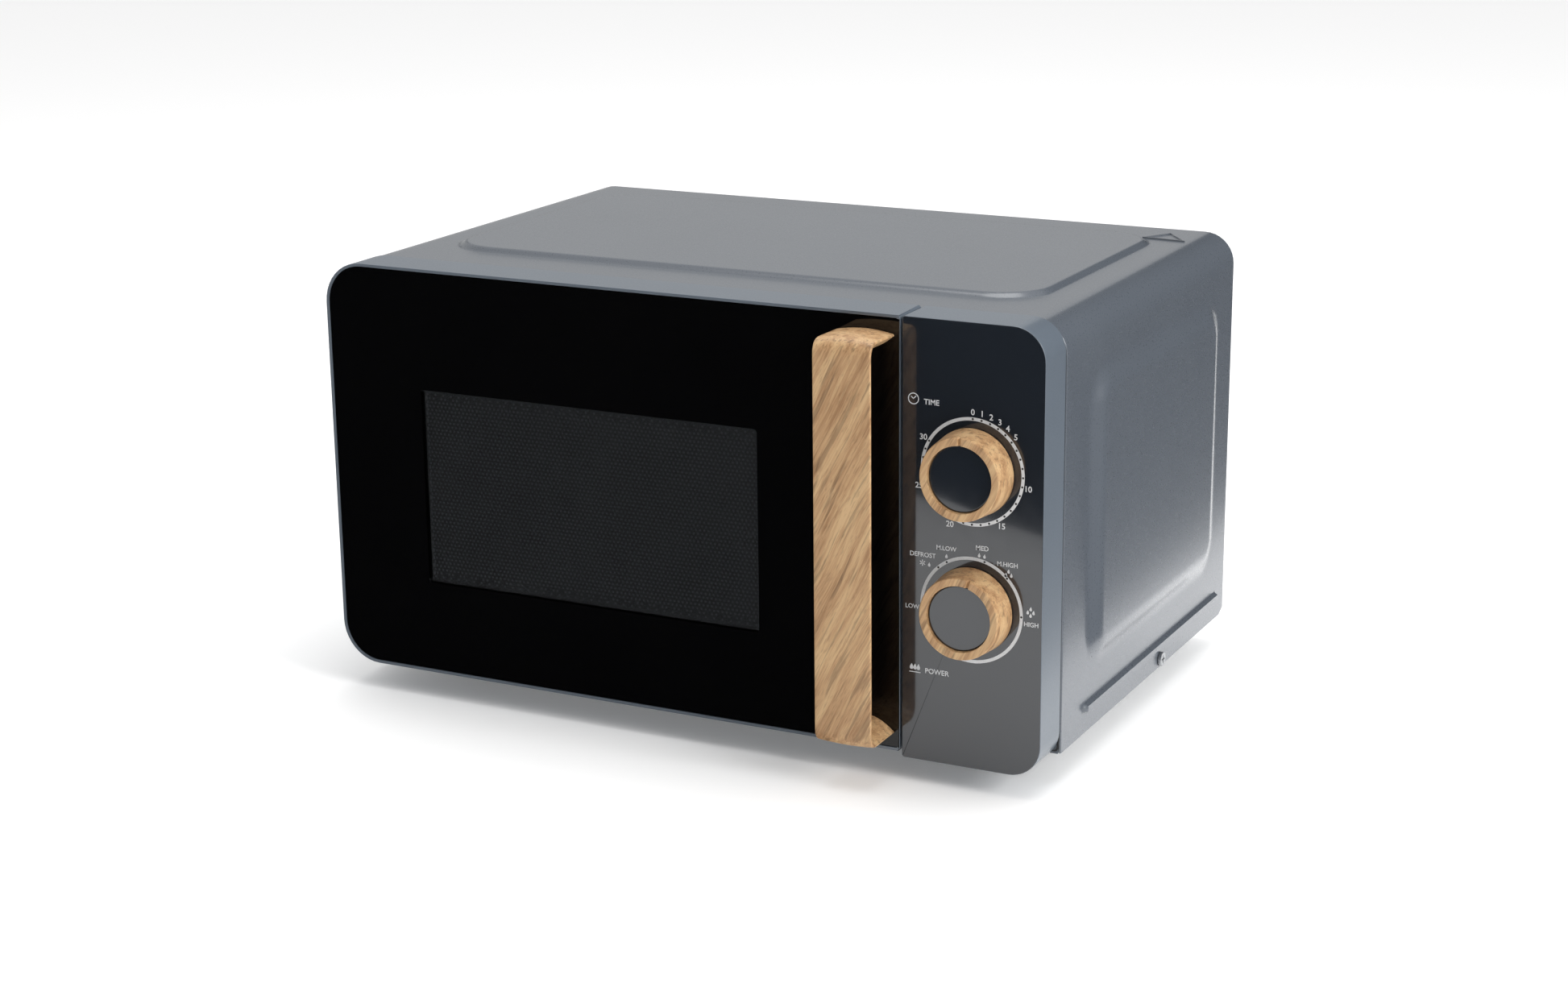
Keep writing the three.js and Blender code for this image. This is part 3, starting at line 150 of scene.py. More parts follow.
def moulded(name, light, dark, roughness, grit, depth, sheen=0.0):
    """Injection-moulded plastic: an even tone broken by the fine grain of a spark-eroded mould."""
    material, tree, where = begin(name)
    grain = add_node(tree, "ShaderNodeTexNoise", inputs={"Vector": where, "Scale": per_mm(grit), "Detail": 3.0})
    flow = add_node(tree, "ShaderNodeTexNoise", inputs={"Vector": where, "Scale": per_mm(45), "Detail": 2.0})
    tone = add_node(tree, "ShaderNodeMix", {"data_type": "RGBA"},
                    {"Factor": flow.outputs["Fac"], "A": linear(dark), "B": linear(light)})
    rough = add_node(tree, "ShaderNodeMapRange", inputs={
        "Value": grain.outputs["Fac"], "From Min": 0.3, "From Max": 0.7,
        "To Min": roughness - 0.05, "To Max": roughness + 0.05})
    bump = add_node(tree, "ShaderNodeBump", inputs={
        "Height": grain.outputs["Fac"], "Strength": 0.4, "Distance": depth * MM})
    surface(tree, add_node(tree, "ShaderNodeBsdfPrincipled", inputs={
        "Base Color": tone.outputs["Result"], "Roughness": rough.outputs["Result"], "IOR": 1.5,
        "Coat Weight": sheen, "Coat Roughness": 0.25, "Normal": bump.outputs["Normal"]}))
    return material


def gloss(name, light, dark, roughness, ior=1.5, lacquer=0.0):
    """A polished plastic or lacquered face: deep tone, faint waviness and a little handling haze."""
    material, tree, where = begin(name)
    wave = add_node(tree, "ShaderNodeTexNoise", inputs={"Vector": where, "Scale": per_mm(38), "Detail": 1.0})
    haze = add_node(tree, "ShaderNodeTexNoise", inputs={"Vector": where, "Scale": per_mm(9), "Detail": 6.0})
    tone = add_node(tree, "ShaderNodeMix", {"data_type": "RGBA"},
                    {"Factor": wave.outputs["Fac"], "A": linear(dark), "B": linear(light)})
    rough = add_node(tree, "ShaderNodeMapRange", inputs={
        "Value": haze.outputs["Fac"], "From Min": 0.35, "From Max": 0.75,
        "To Min": roughness, "To Max": roughness + 0.05})
    bump = add_node(tree, "ShaderNodeBump", inputs={
        "Height": wave.outputs["Fac"], "Strength": 0.12, "Distance": 0.05 * MM})
    surface(tree, add_node(tree, "ShaderNodeBsdfPrincipled", inputs={
        "Base Color": tone.outputs["Result"], "Roughness": rough.outputs["Result"], "IOR": ior,
        "Coat Weight": lacquer, "Coat Roughness": 0.05, "Normal": bump.outputs["Normal"]}))
    return material


def clear_glass(name, tint, roughness):
    """Float glass: clear, with a slight tint and a film of wiping marks."""
    material, tree, where = begin(name)
    wiped = add_node(tree, "ShaderNodeMapping", inputs={"Vector": where, "Scale": (1.0, 1.0, 0.25)})
    marks = add_node(tree, "ShaderNodeTexNoise", inputs={
        "Vector": wiped.outputs["Vector"], "Scale": per_mm(6), "Detail": 5.0})
    rough = add_node(tree, "ShaderNodeMapRange", inputs={
        "Value": marks.outputs["Fac"], "From Min": 0.45, "From Max": 0.75,
        "To Min": roughness, "To Max": roughness + 0.04})
    surface(tree, add_node(tree, "ShaderNodeBsdfPrincipled", inputs={
        "Base Color": linear(tint), "Roughness": rough.outputs["Result"], "IOR": 1.5,
        "Transmission Weight": 1.0}))
    return material


def oak(name, pale, middle, dark, grain_angle, roughness):
    """Oak veneer under matt lacquer: soft bands, thin dark lines and short open pores, all along the grain."""
    material, tree, where = begin(name)
    lean = (0.0, math.radians(90 - grain_angle), 0.0)

    def grain(width, stretch, detail, wander):
        """Noise `width` mm across the grain and `stretch` times longer along it."""
        along = add_node(tree, "ShaderNodeMapping", {"vector_type": "TEXTURE"}, {
            "Vector": where, "Rotation": lean, "Scale": (1.0, 1.0, stretch)})
        drift = add_node(tree, "ShaderNodeTexNoise", inputs={"Vector": where, "Scale": per_mm(60), "Detail": 1.0})
        # The lines wander only across the grain, by up to `wander` metres.
        bent = add_node(tree, "ShaderNodeVectorMath", {"operation": "MULTIPLY_ADD"}, {
            0: drift.outputs["Color"], 1: (wander, wander, 0.0), 2: along.outputs["Vector"]})
        return add_node(tree, "ShaderNodeTexNoise", inputs={
            "Vector": bent.outputs["Vector"], "Scale": per_mm(width), "Detail": detail, "Roughness": 0.5})

    bands, fibres = grain(6, 14, 2.0, 0.006), grain(0.9, 24, 2.0, 0.006)
    mixed = add_node(tree, "ShaderNodeMix", {"data_type": "FLOAT"}, {
        "Factor": 0.4, "A": bands.outputs["Fac"], "B": fibres.outputs["Fac"]})
    tone = add_node(tree, "ShaderNodeValToRGB", inputs={"Fac": mixed.outputs["Result"]})
    stops = tone.color_ramp.elements
    stops[0].position, stops[0].color = 0.36, linear(dark)
    stops[1].position, stops[1].color = 0.62, linear(pale)
    stops.new(0.48).color = linear(middle)
    # The dark lines of the year rings, and pores that are 0.3 mm wide but drawn 0.6 mm wide so that they show.
    veins = add_node(tree, "ShaderNodeMapRange", inputs={
        "Value": grain(2.2, 20, 1.0, 0.006).outputs["Fac"], "From Min": 0.34, "From Max": 0.43,
        "To Min": 0.68, "To Max": 1.0})
    pitted = add_node(tree, "ShaderNodeMapRange", inputs={
        "Value": grain(0.6, 9, 1.0, 0.0).outputs["Fac"], "From Min": 0.3, "From Max": 0.42,
        "To Min": 0.8, "To Max": 1.0})
    lined = add_node(tree, "ShaderNodeMix", {"data_type": "RGBA", "blend_type": "MULTIPLY"}, {
        "Factor": 1.0, "A": tone.outputs["Color"], "B": veins.outputs["Result"]})
    colour = add_node(tree, "ShaderNodeMix", {"data_type": "RGBA", "blend_type": "MULTIPLY"}, {
        "Factor": 1.0, "A": lined.outputs["Result"], "B": pitted.outputs["Result"]})
    bump = add_node(tree, "ShaderNodeBump", inputs={
        "Height": pitted.outputs["Result"], "Strength": 0.35, "Distance": 0.08 * MM})
    rough = add_node(tree, "ShaderNodeMapRange", inputs={
        "Value": fibres.outputs["Fac"], "From Min": 0.3, "From Max": 0.7,
        "To Min": roughness - 0.06, "To Max": roughness + 0.08})
    surface(tree, add_node(tree, "ShaderNodeBsdfPrincipled", inputs={
        "Base Color": colour.outputs["Result"], "Roughness": rough.outputs["Result"], "IOR": 1.46,
        "Normal": bump.outputs["Normal"]}))
    return material


def zinc_sheet(name, light, dark, spangle, roughness):
    """Hot-dip galvanised sheet: a patchwork of zinc crystals, each with its own tone and gloss."""
    material, tree, where = begin(name)
    crystals = add_node(tree, "ShaderNodeTexVoronoi", inputs={"Vector": where, "Scale": per_mm(spangle)})
    tone = add_node(tree, "ShaderNodeMix", {"data_type": "RGBA"}, {
        "Factor": crystals.outputs["Color"], "A": linear(dark), "B": linear(light)})
    rough = add_node(tree, "ShaderNodeMapRange", inputs={
        "Value": crystals.outputs["Color"], "To Min": roughness - 0.08, "To Max": roughness + 0.1})
    surface(tree, add_node(tree, "ShaderNodeBsdfPrincipled", inputs={
        "Base Color": tone.outputs["Result"], "Metallic": 1.0, "Roughness": rough.outputs["Result"]}))
    return material


def drawn_metal(name, light, dark, stretch, width, roughness):
    """Bar or strip drawn through a die: fine parallel marks along its length."""
    material, tree, where = begin(name)
    along = add_node(tree, "ShaderNodeMapping", inputs={"Vector": where, "Scale": stretch})
    marks = add_node(tree, "ShaderNodeTexNoise", inputs={
        "Vector": along.outputs["Vector"], "Scale": per_mm(width), "Detail": 4.0})
    tone = add_node(tree, "ShaderNodeMix", {"data_type": "RGBA"}, {
        "Factor": marks.outputs["Fac"], "A": linear(dark), "B": linear(light)})
    rough = add_node(tree, "ShaderNodeMapRange", inputs={
        "Value": marks.outputs["Fac"], "To Min": roughness - 0.1, "To Max": roughness + 0.1})
    surface(tree, add_node(tree, "ShaderNodeBsdfPrincipled", inputs={
        "Base Color": tone.outputs["Result"], "Metallic": 1.0, "Roughness": rough.outputs["Result"]}))
    return material


def speckled(name, ground, fleck, size, roughness, amount):
    """Vitreous enamel or board: a plain ground scattered with small darker flecks."""
    material, tree, where = begin(name)
    cells = add_node(tree, "ShaderNodeTexVoronoi", inputs={"Vector": where, "Scale": per_mm(size)})
    spots = add_node(tree, "ShaderNodeMapRange", inputs={
        "Value": cells.outputs["Distance"], "From Min": 0.1, "From Max": 0.22, "To Min": amount, "To Max": 0.0})
    tone = add_node(tree, "ShaderNodeMix", {"data_type": "RGBA"}, {
        "Factor": spots.outputs["Result"], "A": linear(ground), "B": linear(fleck)})
    haze = add_node(tree, "ShaderNodeTexNoise", inputs={"Vector": where, "Scale": per_mm(12), "Detail": 4.0})
    rough = add_node(tree, "ShaderNodeMapRange", inputs={
        "Value": haze.outputs["Fac"], "To Min": roughness - 0.06, "To Max": roughness + 0.06})
    surface(tree, add_node(tree, "ShaderNodeBsdfPrincipled", inputs={
        "Base Color": tone.outputs["Result"], "Roughness": rough.outputs["Result"], "IOR": 1.5}))
    return material


slate_paint = powder_coat("powder_coated_steel", "#5a6068", "#545a62", 0.3, 0.03, 0.75)
rear_paint = powder_coat("powder_coated_steel_rear", "#5f666e", "#575e66", 0.42, 0.03)
bezel_abs = moulded("satin_painted_abs", "#616a74", "#5b646e", 0.34, 0.7, 0.02, 0.5)
panel_abs = gloss("polished_abs", "#20252c", "#1d2229", 0.1, 1.5, 1.0)
insert_abs = gloss("polished_abs_insert", "#20252c", "#1d2229", 0.08, 1.5, 1.0)
printed_glass = gloss("black_printed_float_glass", "#060607", "#040405", 0.02, 1.45)
window_glass = clear_glass("tinted_float_glass", "#8b8f93", 0.01)
tray_glass = clear_glass("pressed_glass", "#e4efec", 0.04)
bulb_glass = clear_glass("blown_glass", "#f2f2ee", 0.02)
black_steel = powder_coat("black_enamelled_steel", "#0d0d0e", "#090909", 0.4, 0.02)
black_abs = moulded("black_moulded_abs", "#1a1b1d", "#161719", 0.5, 0.8, 0.03)
rubber = moulded("vulcanised_rubber", "#1c1c1c", "#141414", 0.8, 0.6, 0.05)
nylon = moulded("moulded_nylon", "#e6e4de", "#dcd9d1", 0.45, 0.9, 0.02)
oak_veneer = oak("oak_veneer", "#d0ad80", "#bd966c", "#a27b55", 62, 0.42)
spangled = zinc_sheet("galvanised_sheet", "#b7babc", "#94989b", 9, 0.42)
bright_zinc = drawn_metal("zinc_plated_steel", "#c9cbcd", "#a9abae", (1.0, 1.0, 1.0), 0.8, 0.32)
fins = drawn_metal("extruded_aluminium", "#d3d5d7", "#b4b6b9", (1.0, 0.08, 0.08), 0.6, 0.36)
windings = drawn_metal("enamelled_copper_wire", "#b06a3c", "#7a4224", (1.0, 1.0, 0.05), 0.9, 0.38)
chamber = speckled("vitreous_enamel", "#b9bbbb", "#8b8d8e", 2.2, 0.32, 0.5)
mica = speckled("phlogopite_mica", "#b59a6c", "#8a7048", 1.6, 0.5, 0.7)
board = speckled("glass_epoxy_board", "#2f6b45", "#235237", 1.2, 0.45, 0.4)


def screen_ink(name, colour):
    """Silk-screened ink: matt, with the slightly broken body of a mesh print."""
    material, tree, where = begin(name)
    mesh = add_node(tree, "ShaderNodeTexNoise", inputs={"Vector": where, "Scale": per_mm(0.5), "Detail": 2.0})
    tone = add_node(tree, "ShaderNodeMapRange", inputs={
        "Value": mesh.outputs["Fac"], "From Min": 0.3, "From Max": 0.6, "To Min": 0.88, "To Max": 1.0})
    shade = add_node(tree, "ShaderNodeMix", {"data_type": "RGBA", "blend_type": "MULTIPLY"}, {
        "Factor": 1.0, "A": linear(colour), "B": tone.outputs["Result"]})
    surface(tree, add_node(tree, "ShaderNodeBsdfPrincipled", inputs={
        "Base Color": shade.outputs["Result"], "Roughness": 0.5, "IOR": 1.5}))
    return material


pale_ink = screen_ink("silk_screen_ink", "#d2d5d8")
dark_ink = screen_ink("silk_screen_ink_dark", "#15171a")


def window_film():
    """The heat-shrunk polyester film behind the perforated steel: milky and half see-through, its tone darker and
    lighter in broad patches as painted shade of creases.
    """
    material, tree, where = begin("polyester_film")
    # Painted shade: the flat film's tone swings between dark and light grey as if it were lit across creases.
    crease = add_node(tree, "ShaderNodeTexNoise", inputs={"Vector": where, "Scale": per_mm(55), "Detail": 3.0})
    tone = add_node(tree, "ShaderNodeMix", {"data_type": "RGBA"}, {
        "Factor": crease.outputs["Fac"], "A": linear("#44464a"), "B": linear("#8c8e91")})
    surface(tree, add_node(tree, "ShaderNodeBsdfPrincipled", inputs={
        "Base Color": tone.outputs["Result"], "Roughness": 0.35, "IOR": 1.5, "Alpha": 0.7}))
    return material


film = window_film()


# ---------- mesh helpers ----------

def fresh_mesh(points, faces):
    """A mesh from points of the oven's own frame, without the points that no face uses."""
    mesh = bpy.data.meshes.new("part")
    mesh.from_pydata([place(*point) for point in points], [], faces)
    shape = bmesh.new()
    shape.from_mesh(mesh)
    bmesh.ops.delete(shape, geom=[v for v in shape.verts if not v.link_faces], context="VERTS")
    shape.to_mesh(mesh)
    shape.free()
    return mesh


def copied(node):
    """A clean copy of a CAD node's mesh, with its flat areas made whole again."""
    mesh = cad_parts[node].data.copy()
    if "custom_normal" in mesh.attributes:
        mesh.attributes.remove(mesh.attributes["custom_normal"])
    shape = bmesh.new()
    shape.from_mesh(mesh)
    bmesh.ops.remove_doubles(shape, verts=shape.verts, dist=1e-6)
    bmesh.ops.dissolve_limit(shape, angle_limit=math.radians(0.8), verts=shape.verts, edges=shape.edges)
    shape.to_mesh(mesh)
    shape.free()
    return mesh


def worked(mesh, kind, settings):
    """The mesh with one modifier applied."""
    holder = bpy.data.objects.new("working", mesh)
    scene.collection.objects.link(holder)
    modifier = holder.modifiers.new("step", kind)
    for name, value in settings.items():
        setattr(modifier, name, value)
    bpy.context.view_layer.update()
    result = bpy.data.meshes.new_from_object(holder.evaluated_get(bpy.context.evaluated_depsgraph_get()))
    bpy.data.objects.remove(holder)
    return result


def rounded(mesh, radius, segments=2, angle=32):
    """The mesh with its sharp edges rounded over."""
    return worked(mesh, "BEVEL", {
        "width": radius * MM, "segments": segments, "limit_method": "ANGLE",
        "angle_limit": math.radians(angle), "use_clamp_overlap": False, "miter_outer": "MITER_ARC"})


def filled(outlines, front, back=None):
    """A flat shape in the plane of the front, holes and all, or a slab of it from `front` back to `back`."""
    curve = bpy.data.curves.new("outline", "CURVE")
    curve.dimensions = "2D"
    curve.fill_mode = "BOTH"
    depth = 0 if back is None else (back - front) / 2
    curve.extrude = depth * MM
    for points in outlines:
        spline = curve.splines.new("POLY")
        spline.points.add(len(points) - 1)
        for point, (x, z) in zip(spline.points, points):
            point.co = (x * MM, z * MM, 0, 1)
        spline.use_cyclic_u = True
    return flattened(curve, front + depth)


def flattened(curve, y):
    """A flat curve or text, upright in the plane at `y`, as a mesh."""
    holder = bpy.data.objects.new("outline", curve)
    scene.collection.objects.link(holder)
    bpy.context.view_layer.update()
    mesh = bpy.data.meshes.new_from_object(holder.evaluated_get(bpy.context.evaluated_depsgraph_get()))
    bpy.data.objects.remove(holder)
    mesh.transform(Matrix.Translation(place(0, y, 0)) @ Matrix.Rotation(math.pi / 2, 4, "X"))
    return mesh


def ring(x, z, radius, count=72):
    """Points round a circle, from the top, clockwise as seen from the front."""
    return [(x + radius * math.sin(a), z + radius * math.cos(a))
            for a in (2 * math.pi * i / count for i in range(count))]


def plaque(x0, x1, z0, z1, radii, steps=10):
    """A rectangle with its own corner radius bottom left, bottom right, top right and top left."""
    corners = [(x0, z0, 1, 1, 180), (x1, z0, -1, 1, 270), (x1, z1, -1, -1, 0), (x0, z1, 1, -1, 90)]
    points = []
    for (x, z, right, up, start), radius in zip(corners, radii):
        for i in range(steps + 1):
            a = math.radians(start + 90 * i / steps)
            points.append((x + right * radius + radius * math.cos(a), z + up * radius + radius * math.sin(a)))
    return [p for i, p in enumerate(points) if math.dist(p, points[i - 1]) > 0.01]


def turned(profile, axis, centre, angles=96):
    """A profile of (radius, height) points turned about an axis. About y, angle 0 is the top."""
    if isinstance(angles, int):
        angles = [2 * math.pi * i / angles for i in range(angles)]
    points, rows = [], []
    for radius, height in profile:
        row = []
        for a in (angles if radius > 0 else [0]):
            u, v = radius * math.sin(a), radius * math.cos(a)
            row.append(len(points))
            if axis == "y":
                points.append((centre[0] + u, height, centre[1] + v))
            else:
                points.append((centre[0] + u, centre[1] + v, height))
        rows.append(row)
    faces = []
    count = len(angles)
    for low, high in zip(rows, rows[1:]):
        for i in range(count):
            j = (i + 1) % count
            corners = [low[i % len(low)], low[j % len(low)], high[j % len(high)], high[i % len(high)]]
            faces.append(list(dict.fromkeys(corners)))
    return fresh_mesh(points, [face for face in faces if len(face) > 2])


def piece(name, parts, body, nodes=(), crease=30):
    """Joins meshes, each with its finish, into one named piece that rides on a body.
    A finish is a material, or a function that picks one for a face."""
    whole = bmesh.new()
    materials = []
    for mesh, finish in parts:
        start = len(whole.faces)
        whole.from_mesh(mesh)
        whole.faces.ensure_lookup_table()
        whole.normal_update()
        for face in whole.faces[start:]:
            material = finish if isinstance(finish, bpy.types.Material) else finish(face)
            if material not in materials:
                materials.append(material)
            face.material_index = materials.index(material)
    bmesh.ops.recalc_face_normals(whole, faces=whole.faces)
    mesh = bpy.data.meshes.new(name)
    whole.to_mesh(mesh)
    whole.free()
    for material in materials:
        mesh.materials.append(material)
    mesh.shade_smooth()
    mesh.set_sharp_from_angle(angle=math.radians(crease))
    mesh = worked(mesh, "WEIGHTED_NORMAL", {"keep_sharp": True})
    mesh.name = name
    made = bpy.data.objects.new(name, mesh)
    scene.collection.objects.link(made)
    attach(made, body)
    if nodes:
        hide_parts(*nodes)
    return made


# ---------- cabinet: one sheet, bent round the chamber, with panels and a bead pressed into it ----------

SIDE_RAISE, TOP_RAISE, BEAD_RAISE = 4.0, 2.5, 2.5
CABINET_RADIUS = 18
SHEET = 0.8
SEAM = 1.3  # the gap left in front of the sheet's rolled edge
SIDE_CORNER, TOP_CORNER, BEAD_CORNER = 24, 32, 2.7
SIDE_SLOPE, TOP_SLOPE, BEAD_SLOPE = 17, 4.5, 1.5
SIDE_EASE, TOP_EASE, BEAD_EASE = 0.42, 0.08, 0.3
VENT_GAP, VENT_PITCH, VENT_COUNT = 3, 8, 6
NOSE, FOLD = 0.9, 1.6  # bend radii of the front and rear edges


def stations(*runs):
    """Ordered stations from runs of (start, end, step)."""
    values = []
    for start, end, step in runs:
        count = max(1, round((end - start) / step))
        for i in range(count + 1):
            value = start + (end - start) * i / count
            if not values or value - values[-1] > 0.05:
                values.append(value)
    return values


def inward(u, v, us, vs, corner):
    """How far a point lies inside a rectangle with rounded corners; negative outside."""
    du = abs(u - sum(us) / 2) - (us[1] - us[0]) / 2 + corner
    dv = abs(v - sum(vs) / 2) - (vs[1] - vs[0]) / 2 + corner
    return corner - math.hypot(max(du, 0), max(dv, 0)) - min(max(du, dv), 0)


def ramp(t, ease):
    """A straight rise from 0 to 1 whose two ends are eased over a share of its length."""
    t = min(max(t, 0), 1)
    steep = 1 / (1 - ease)
    if t < ease:
        return steep * t * t / (2 * ease)
    if t > 1 - ease:
        return 1 - steep * (1 - t) ** 2 / (2 * ease)
    return steep * (t - ease / 2)


def cabinet():
    """Lays a grid over the bent sheet, presses the panels and bead into it, and returns the top's plain height."""
    (_, x1), (y0, y1), (z0, z1) = extent("outer_cabinet")
    y0 += SEAM
    half, top = x1 - SIDE_RAISE, z1 - TOP_RAISE
    arc = CABINET_RADIUS
    side_y, side_z = (62, y1 - 26), (z0 + 34, top - 31)
    top_x, top_y = (33 - half, half - 33), (66, y1 - 30)
    bead_y, bead_z = (60, y1 - 16), (z0 + 11.5, z0 + 17.5)
    vent_y, vent_rows = (196, 242), [top - 110 + VENT_PITCH * i for i in range(VENT_COUNT)]

    def proud(x, y, z, outward):
        """How far the pressing lifts the sheet at a point of a flat side; bends stay plain."""
        if outward.z > 0.999:
            return TOP_RAISE * ramp(inward(x, y, top_x, top_y, TOP_CORNER) / TOP_SLOPE, TOP_EASE)
        if abs(outward.x) > 0.999:
            pressed = SIDE_RAISE * ramp(inward(y, z, side_y, side_z, SIDE_CORNER) / SIDE_SLOPE, SIDE_EASE)
            bead = BEAD_RAISE * ramp(inward(y, z, bead_y, bead_z, BEAD_CORNER) / BEAD_SLOPE, BEAD_EASE)
            return max(pressed, bead)
        return 0

    bead_run = (bead_z[0] - 0.8, bead_z[1] + 0.8, 0.78)
    plain = stations((z0, bead_run[0], 3), bead_run, (bead_run[1], side_z[0], 4),
                     (side_z[0], side_z[0] + SIDE_CORNER, 1.7), (side_z[0] + SIDE_CORNER, side_z[1] - SIDE_CORNER, 5),
                     (side_z[1] - SIDE_CORNER, side_z[1], 1.7), (side_z[1], top - arc, 3))
    vented = stations((z0, bead_run[0], 3), bead_run, (bead_run[1], side_z[0], 4),
                      (side_z[0], side_z[0] + SIDE_CORNER, 1.7), (side_z[0] + SIDE_CORNER, vent_rows[0], 5),
                      *[run for z in vent_rows
                        for run in ((z, z + VENT_GAP, 1.5), (z + VENT_GAP, z + VENT_PITCH, 2.5))],
                      (vent_rows[-1] + VENT_PITCH, side_z[1] - SIDE_CORNER, 5),
                      (side_z[1] - SIDE_CORNER, side_z[1], 1.7),
                      (side_z[1], top - arc, 3))
    bend = [math.radians(90 * i / 9) for i in range(1, 9)]
    across = stations((arc - half, top_x[0], 4), (top_x[0], top_x[0] + TOP_CORNER, 1.5),
                      (top_x[0] + TOP_CORNER, top_x[1] - TOP_CORNER, 8), (top_x[1] - TOP_CORNER, top_x[1], 1.5),
                      (top_x[1], half - arc, 4))
    path = [(-half, z, Vector((-1, 0, 0))) for z in vented]
    path += [(arc - half - arc * math.cos(a), top - arc + arc * math.sin(a),
              Vector((-math.cos(a), 0, math.sin(a)))) for a in bend]
    path += [(x, top, Vector((0, 0, 1))) for x in across]
    path += [(half - arc + arc * math.sin(a), top - arc + arc * math.cos(a),
              Vector((math.sin(a), 0, math.cos(a)))) for a in bend]
    path += [(half, z, Vector((1, 0, 0))) for z in reversed(plain)]

    # The front edge is rolled over; the rear edge is folded in to a flange.
    nose = [(y0 + NOSE - NOSE * math.sin(a), NOSE - NOSE * math.cos(a))
            for a in (math.radians(90 - 18 * i) for i in range(5))]
    fold = [(y1 - FOLD + FOLD * math.sin(a), FOLD - FOLD * math.cos(a))
            for a in (math.radians(18 * i) for i in range(1, 6))]
    along = stations((y0 + NOSE, 58, 6), (58, 98, 1.5), (98, vent_y[0], 6), (vent_y[0], 236, 5),
                     (236, vent_y[1], 1.5), (vent_y[1], 268, 1.5), (268, y1 - 16, 1.7), (y1 - 16, y1 - 8, 4),
                     (y1 - 8, y1 - FOLD, 3.2))
    lines = nose + [(y, 0) for y in along] + fold + [(y1, 7), (y1, 12)]
    points = []
    for x, z, outward in path:
        for y, inset in lines:
            shift = outward * (proud(x, y, z, outward) - inset)
            cut_off = z0 + max(0, y - (y1 - 8)) / 2
            points.append((x + shift.x, y, max(z + shift.z, cut_off)))
    faces = []
    width = len(lines)
    for i in range(len(path) - 1):
        for j in range(width - 1):
            (_, za, outward), (_, zb, _) = path[i], path[i + 1]
            y, z = (lines[j][0] + lines[j + 1][0]) / 2, (za + zb) / 2
            slot = outward.x < -0.999 and any(row < z < row + VENT_GAP for row in vent_rows)
            if slot and vent_y[0] < y < vent_y[1]:
                continue
            faces.append((i * width + j, i * width + j + 1, (i + 1) * width + j + 1, (i + 1) * width + j))
    sheet = fresh_mesh(points, faces)
    thick = worked(sheet, "SOLIDIFY", {"thickness": SHEET * MM, "offset": 1.0})
    piece("cabinet_sheet", [(thick, slate_paint)], "oven", ["outer_cabinet"], crease=38)
    return top


cabinet_top = cabinet()


def embossed_triangle():
    """A plain raised triangle near the rear right corner of the top, with no mark in it."""
    outer = [Vector((174.5, 262.0)), Vector((202.5, 259.4)), Vector((186.1, 281.4))]
    middle = sum(outer, Vector((0, 0))) / 3
    points, faces = [], []
    steps = [(1.0, 0.0), (0.975, 0.8), (0.855, 0.8), (0.83, 0.0)]
    for share, rise in steps:
        for i in range(3):
            corner, last, following = outer[i], outer[i - 1], outer[(i + 1) % 3]
            for toward, pull in ((last, 0.06), (last, 0.02), (following, 0.02), (following, 0.06)):
                spot = middle + (corner.lerp(toward, pull) - middle) * share
                points.append((spot.x, spot.y, cabinet_top + rise))
    for k in range(len(steps) - 1):
        for i in range(12):
            j = (i + 1) % 12
            faces.append((k * 12 + i, k * 12 + j, (k + 1) * 12 + j, (k + 1) * 12 + i))
    piece("embossed_triangle", [(fresh_mesh(points, faces), slate_paint)], "oven")


embossed_triangle()


def front_seal():
    """A thin black strip in the seam between the cabinet's rolled edge and the door and panel, put there as painted
    shade to darken the seam.
    """
    (_, x1), (y0, _), _ = extent("outer_cabinet")
    low = door_z[0] + 2
    outlines = [plaque(inset - (x1 - SIDE_RAISE), x1 - SIDE_RAISE - inset, low + inset, cabinet_top - inset,
                       (2, 2, CABINET_RADIUS - inset, CABINET_RADIUS - inset)) for inset in (1.0, 1.8)]
    # Painted shade: the black strip stands in for the shadow that falls in the seam.
    piece("front_seal", [(filled(outlines, y0 + 0.1, y0 + SEAM + 0.7), black_abs)], "oven")


front_seal()


# ---------- control panel ----------

def panel_finish(face):
    """Polished on the face and satin round the sides."""
    return panel_abs if face.normal.y < -0.95 else bezel_abs


piece("control_panel_shell", [(rounded(copied("control_panel"), 0.5, 3), panel_finish)],
      "oven", ["control_panel"])

knob_x = sum(extent("time_knob")[0]) / 2
time_z = sum(extent("time_knob")[2]) / 2
power_z = sum(extent("power_knob")[2]) / 2
PRINT_Y = -0.05
RING_OUTER, RING_INNER, DOT_AT, DOT = 28.95, 27.2, 28.07, 0.6
NUMBERS_AT = 31.7


def lettering(words, height, x, z):
    """Words centred on (x, z) whose capitals are `height` tall."""
    text = bpy.data.curves.new("words", "FONT")
    text.body = words
    text.fill_mode = "FRONT"
    text.resolution_u = 6
    text.offset = 0.016
    mesh = flattened(text, PRINT_Y)
    us = [v.co.x for v in mesh.vertices]
    vs = [v.co.z for v in mesh.vertices]
    size = height * MM / (max(vs) - min(vs))
    spot = place(x, PRINT_Y, z)
    for v in mesh.vertices:
        v.co = (spot.x + (v.co.x - (max(us) + min(us)) / 2) * size, spot.y,
                spot.z + (v.co.z - (max(vs) + min(vs)) / 2) * size)
    return mesh


def bar(x, z, length, width, degrees):
    """A thin printed bar, turned clockwise from upright."""
    a = math.radians(degrees)
    along, side = Vector((math.sin(a), math.cos(a))), Vector((math.cos(a), -math.sin(a)))
    corners = [along * length / 2 * i + side * width / 2 * j for i, j in ((-1, -1), (-1, 1), (1, 1), (1, -1))]
    return filled([[(x + c.x, z + c.y) for c in corners]], PRINT_Y)


